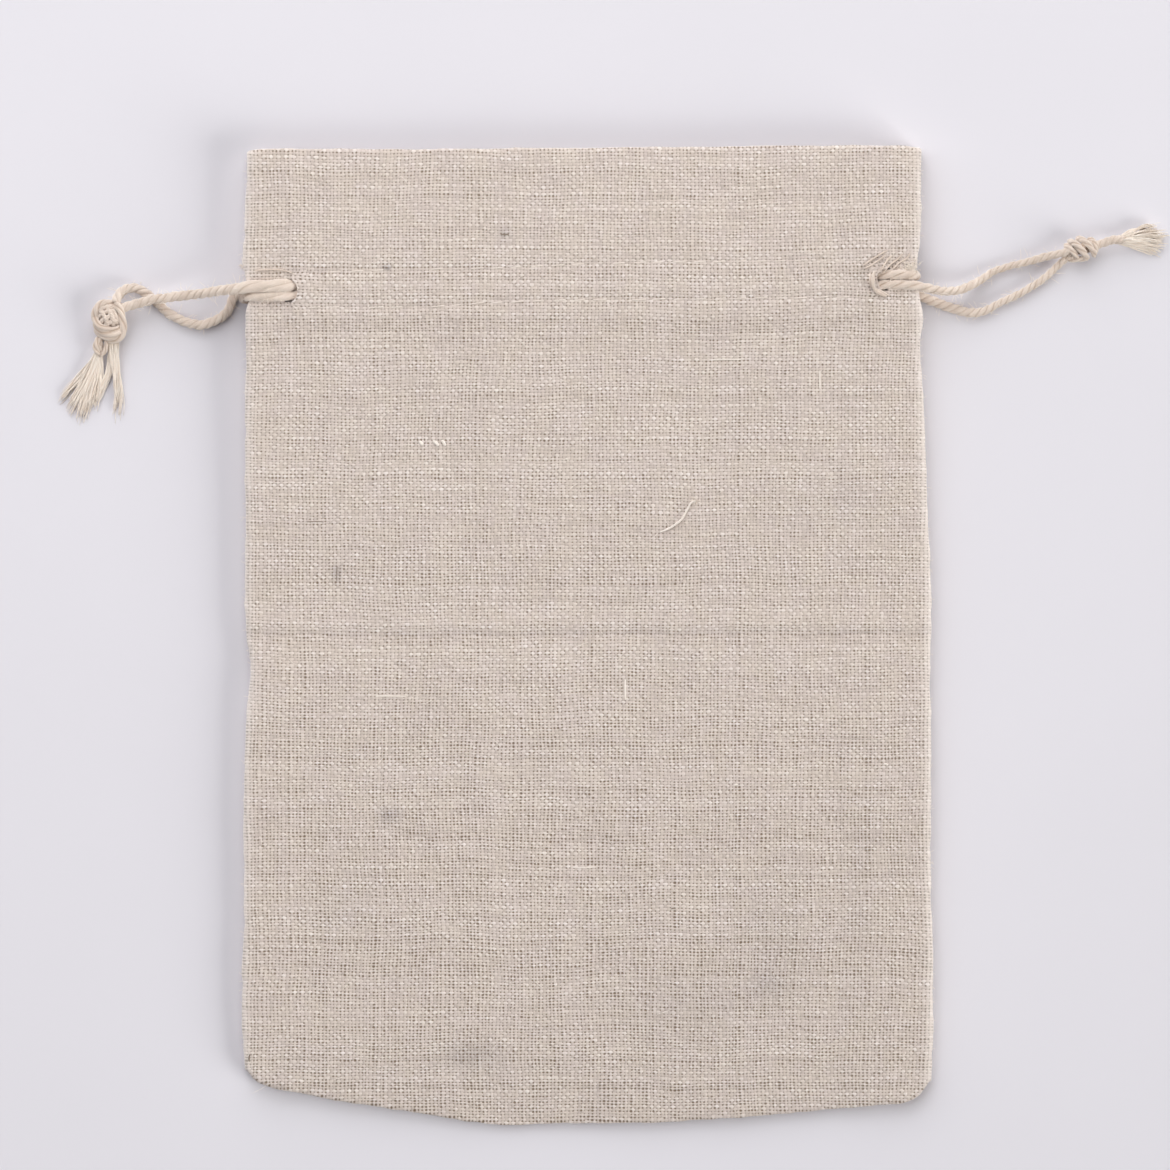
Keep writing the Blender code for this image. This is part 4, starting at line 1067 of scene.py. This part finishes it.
# Each yarn has its radius and its points: x, y and the height above the cloth, all in mm.
looseSets = {
    "frayed_slit_yarns": {
        "material": cordCotton, "slot": "cotton_cord", "sides": 10, "flat": 0.75,
        "yarns": [
            # the end that crosses the right opening and frays below it
            (0.30, ((41.75, 52.95, 0.1), (41.6, 52.3, 0.75), (41.55, 51.5, 0.95), (41.6, 50.8, 0.75),
                    (41.9, 50.2, 0.3), (42.7, 49.7, 0.15), (43.6, 49.3, 0.1))),
            (0.14, ((41.3, 52.6, 0.2), (41.15, 51.8, 0.6), (41.2, 51.0, 0.5), (41.7, 50.3, 0.2),
                    (42.3, 49.4, 0.1))),
            (0.13, ((41.9, 50.4, 0.3), (42.9, 50.0, 0.25), (44.1, 49.35, 0.1))),
            (0.13, ((40.1, 53.7, 0.0), (41.2, 54.5, 0.06), (42.6, 55.4, 0.06), (43.9, 56.1, -0.02))),
            (0.12, ((40.4, 53.3, 0.0), (41.6, 54.0, 0.08), (42.9, 54.9, 0.08), (43.6, 55.6, -0.02))),
            (0.16, ((42.7, 52.9, 0.3), (43.2, 53.8, 0.25), (43.8, 54.7, 0.08), (44.4, 55.3, 0.0))),
            (0.11, ((43.3, 52.9, 0.3), (44.1, 53.9, 0.2), (45.3, 54.8, 0.06), (46.0, 55.6, 0.0))),
            (0.12, ((44.6, 53.3, 0.3), (45.4, 54.2, 0.12), (46.6, 54.9, 0.06), (47.1, 55.7, 0.0))),
            (0.10, ((-48.6, 53.1, 0.1), (-46.3, 53.25, 0.2), (-43.9, 53.0, 0.1), (-42.6, 52.5, 0.05))),
        ],
    },
    "cloth_slubs": {
        "material": flaxYarn, "slot": "linen", "sides": 8, "flat": 0.6,
        "yarns": [
            # a curled end of yarn standing off the cloth
            (0.16, ((10.5, 14.9, 0.0), (11.5, 15.3, 0.1), (12.6, 15.9, 0.2), (13.8, 16.9, 0.2),
                    (14.6, 18.3, 0.15), (15.2, 19.3, 0.15), (15.9, 19.5, 0.0))),
            (0.24, ((-24.65, 28.25, 0.0), (-24.3, 27.95, 0.14), (-24.0, 27.6, 0.0))),
            (0.24, ((-22.6, 28.25, 0.0), (-22.1, 27.95, 0.16), (-21.75, 27.5, 0.0))),
            (0.22, ((-21.3, 28.4, 0.0), (-21.0, 28.0, 0.14), (-20.7, 27.55, 0.0))),
            (0.11, ((33.9, 38.6, -0.03), (33.9, 37.2, 0.07), (33.9, 35.8, -0.03))),
            (0.12, ((43.2, -19.0, -0.02), (43.5, -18.9, 0.08), (43.9, -19.1, -0.02))),
            (0.12, ((21.3, -22.1, -0.02), (21.6, -21.9, 0.08), (22.0, -22.0, -0.02))),
            (0.13, ((5.5, -6.5, -0.03), (5.5, -8.0, 0.07), (5.55, -9.6, -0.03))),
            (0.10, ((-2.5, -34.0, -0.03), (-0.6, -34.05, 0.05), (1.4, -34.0, -0.03))),
            (0.10, ((-31.0, -9.0, -0.03), (-28.8, -9.0, 0.05), (-26.5, -9.05, -0.03))),
            (0.10, ((18.0, 40.1, -0.03), (20.0, 40.15, 0.05), (22.4, 40.1, -0.03))),
        ],
    },
    "cloth_shives": {
        # specks of flax stem left in the yarn
        "material": flaxShive, "slot": "linen", "sides": 6, "flat": 0.4,
        "yarns": [
            (0.13, ((-29.5, 53.5, 0.0), (-29.3, 53.5, 0.04), (-29.1, 53.55, 0.0))),
            (0.08, ((-36.55, 10.1, -0.02), (-36.6, 9.0, 0.02), (-36.6, 7.8, -0.02))),
            (0.10, ((-12.7, 58.3, 0.0), (-12.0, 58.35, 0.04), (-11.4, 58.3, 0.0))),
            (0.09, ((12.2, -40.1, 0.0), (12.5, -40.0, 0.04), (12.9, -40.1, 0.0))),
            (0.07, ((-41.2, 16.45, -0.02), (-39.9, 16.5, 0.0), (-38.4, 16.45, -0.02))),
            (0.14, ((-49.35, -61.3, -0.05), (-49.45, -61.9, 0.0), (-49.4, -62.5, -0.05))),
        ],
    },
}


def taperedTubes(lines, radius, sides, flat):
    # one tube along each line, its radius falling to a fifth at both ends as the square root of the way in
    steps = lines.shape[1]
    share = np.linspace(0, 1, steps)
    taper = 0.2 + 0.8 * np.sqrt(np.clip(6 * np.minimum(share, 1 - share), 0, 1))
    wide = np.broadcast_to(radius, len(lines))[:, None] * taper
    _, sideways, upwards = framesAlong(lines, (0.31, 0.95, 0.0))
    return tubes(lines, sideways, upwards, wide, flat * wide, sides)


def makeLoose(name, loose):
    # yarns that lie on the front, following its height
    parts = []
    for radius, guide in loose["yarns"]:
        line = smoothLine(guide, 0.16)
        line[:, 2] += frontHeight(line[:, 0], line[:, 1]) + loose["flat"] * radius * 0.5
        points, faces, uv, a = taperedTubes(line[None], radius, loose["sides"], loose["flat"])
        # painted shade: each yarn's underside darker, its top paler
        parts.append((points, faces, uv, 0.4 + 0.5 * np.sin(a)))
    points, faces, uv, crownShade = joinParts(parts)
    return makePiece(name, points, faces, loose["material"], uv, {"crownShade": crownShade})


for looseName, loose in looseSets.items():
    makeLoose(looseName, loose)

# Fine hairs: 0.02 mm fibres drawn at 0.05 mm, so that they show. Each kind has its count and its shortest
# and longest hair in mm; the counts of lint are further down.
hairSet = {"radius": 0.026, "steps": 7, "sides": 4, "seed": 77, "cord": (420, 0.4, 1.1),
           "cloth": (420, 0.5, 1.8), "edge": (260, 0.25, 0.7), "lint": (0.4, 0.9)}


def growHairs(name, roots, ahead, bend, length, material):
    # a hair is root + L t ahead + L t t bend, for t from 0 to 1
    t = np.linspace(0, 1, hairSet["steps"])[None, :, None]
    lines = roots[:, None] + length[:, None, None] * (t * ahead[:, None] + t * t * bend[:, None])
    lines[..., 2] = np.maximum(lines[..., 2], 0.06)
    points, faces, uv, _ = taperedTubes(lines, hairSet["radius"], hairSet["sides"], 1.0)
    return makePiece(name, points, faces, material, uv, {"crownShade": np.full(len(points), 0.7)})


def scatter(rng, count):
    # arrows of length 1 in all directions
    return unit(rng.normal(size=(count, 3)))


hairRng = np.random.default_rng(hairSet["seed"])

# on the cords where they lie outside the cloth
count, *lengths = hairSet["cord"]
cordPoints = np.concatenate([leftLine, rightLine]) / mm
cordX = np.abs(cordPoints[:, 0])
cordPoints = cordPoints[(cordX > 43.0) & ((cordPoints[:, 2] > 4.3) | (cordX > 50.5))]
pick = hairRng.integers(0, len(cordPoints), count)
outward = scatter(hairRng, count)
outward[:, 2] = np.abs(outward[:, 2]) * 0.6
outward = unit(outward)
growHairs("cord_fibres", cordPoints[pick] + 0.72 * outward, outward, 0.8 * scatter(hairRng, count),
          hairRng.uniform(*lengths, count), tailCotton)

# all over the front
count, *lengths = hairSet["cloth"]
clothX, clothY = hairRng.uniform(-48, 48, count), hairRng.uniform(-67, 70, count)
heading = scatter(hairRng, count) * np.array([1, 1, 0.15])
curl = scatter(hairRng, count) * np.array([0.7, 0.7, 0.05])
roots = np.column_stack([clothX, clothY, frontHeight(clothX, clothY) + 0.05])
heading[:, 2] = np.abs(heading[:, 2]) + 0.05
growHairs("cloth_fibres", roots, heading, curl, hairRng.uniform(*lengths, count), flaxYarn)

# along both sides
count, *lengths = hairSet["edge"]
side, edgeY = hairRng.choice([-1.0, 1.0], count), hairRng.uniform(-62, 69, count)
edgeX = np.where(side < 0, readTable(sideEdges, edgeY), readTable(sideEdges, edgeY, 2)) - side * 0.25
heading = np.column_stack([side * hairRng.uniform(0.2, 1.0, count), hairRng.normal(0, 0.7, count),
                           hairRng.normal(0.1, 0.3, count)])
edgeZ = readTable(faceHeights, edgeY, 2) - hairRng.uniform(0.2, 1.4, count)
growHairs("edge_fibres", np.column_stack([edgeX, edgeY, edgeZ]), unit(heading), 0.7 * scatter(hairRng, count),
          hairRng.uniform(*lengths, count), flaxYarn)

# lint: a tuft at the right opening, a smaller one above the left one, and one at the curled end of yarn.
# Each has its middle, its spread in x and y, and its number of hairs.
lintSet = {"lint_right": ((47.1, 53.6), (0.55, 0.45), 170), "lint_left": ((-50.2, 54.0), (0.15, 0.4), 40),
           "lint_curl": ((15.6, 19.5), (0.15, 0.12), 30)}
for lintName, (middle, spread, count) in lintSet.items():
    spot = np.array(middle) + hairRng.normal(size=(count, 2)) * np.array(spread)
    base = np.where(np.abs(spot[:, 0]) > 49.5, 3.6, frontHeight(spot[:, 0], spot[:, 1]) + 0.06)
    heading = scatter(hairRng, count) * np.array([1, 1, 0.3])
    heading[:, 2] = np.abs(heading[:, 2])
    curl = 0.9 * scatter(hairRng, count) * np.array([1, 1, 0.2])
    growHairs(lintName, np.column_stack([spot, base]), heading, curl,
              hairRng.uniform(*hairSet["lint"], count), tailCotton)
print("loose yarns and fibres made")


# The floor: half its width in metres, and the two colours that its cloudiness runs between.
floorSet = {"half": 2.0, "low": "#E1DFE4", "high": "#E5E3E8"}


def floorMaterial():
    # matt white painted board: cool white, almost even, with a faint cloudiness from the roller
    material, add, shader = newMaterial("painted_board")
    place = add("TexCoord").outputs["Object"]
    cloud = add("TexNoise", {"Vector": place, "Scale": 22.0, "Detail": 4.0})
    colour = add("Mix", {0: cloud, 6: linearColour(floorSet["low"]), 7: linearColour(floorSet["high"])},
                 data_type="RGBA")
    plugIn(shader, {"Base Color": colour.outputs[2], "Roughness": 0.7, "Specular IOR Level": 0.2})
    return material


floorMesh = bpy.data.meshes.new("floor")
corners = [(x * floorSet["half"], y * floorSet["half"], 0.0) for x, y in ((-1, -1), (1, -1), (1, 1), (-1, 1))]
floorMesh.from_pydata(corners, [], [(0, 1, 2, 3)])
floorMesh.materials.append(floorMaterial())
floor = bpy.data.objects.new("floor", floorMesh)
bpy.context.scene.collection.objects.link(floor)

# Square lights turned to the middle of the floor: place and width in metres, power in watts, colour.
lightSet = {
    "key": ((1.66, -0.80, 0.84), 1.2, 33.4, "#FFFEFC"),
    "window": ((-0.48, 0.50, 0.75), 1.5, 11.3, "#FEFDFF"),
    "fill": ((0.0, 0.80, 0.40), 0.8, 4.3, "#FEFDFF"),
}
worldSet = {"colour": "#FBFAFF", "strength": 0.05}

for lightName, (place, width, power, hexCode) in lightSet.items():
    light = bpy.data.lights.new(lightName, "AREA")
    light.size = width
    light.energy = power
    light.color = linearColour(hexCode)[:3]
    lamp = bpy.data.objects.new(lightName, light)
    lamp.location = place
    tilt, heading = math.atan2(math.hypot(*place[:2]), place[2]), math.atan2(place[1], place[0]) + pi / 2
    lamp.rotation_euler = (tilt, 0.0, heading)
    bpy.context.scene.collection.objects.link(lamp)

world = bpy.data.worlds.new("studio")
world.use_nodes = True
plugIn(world.node_tree.nodes["Background"], [linearColour(worldSet["colour"]), worldSet["strength"]])
bpy.context.scene.world = world
bpy.context.scene.view_settings.view_transform = "Standard"
print("floor and light set")
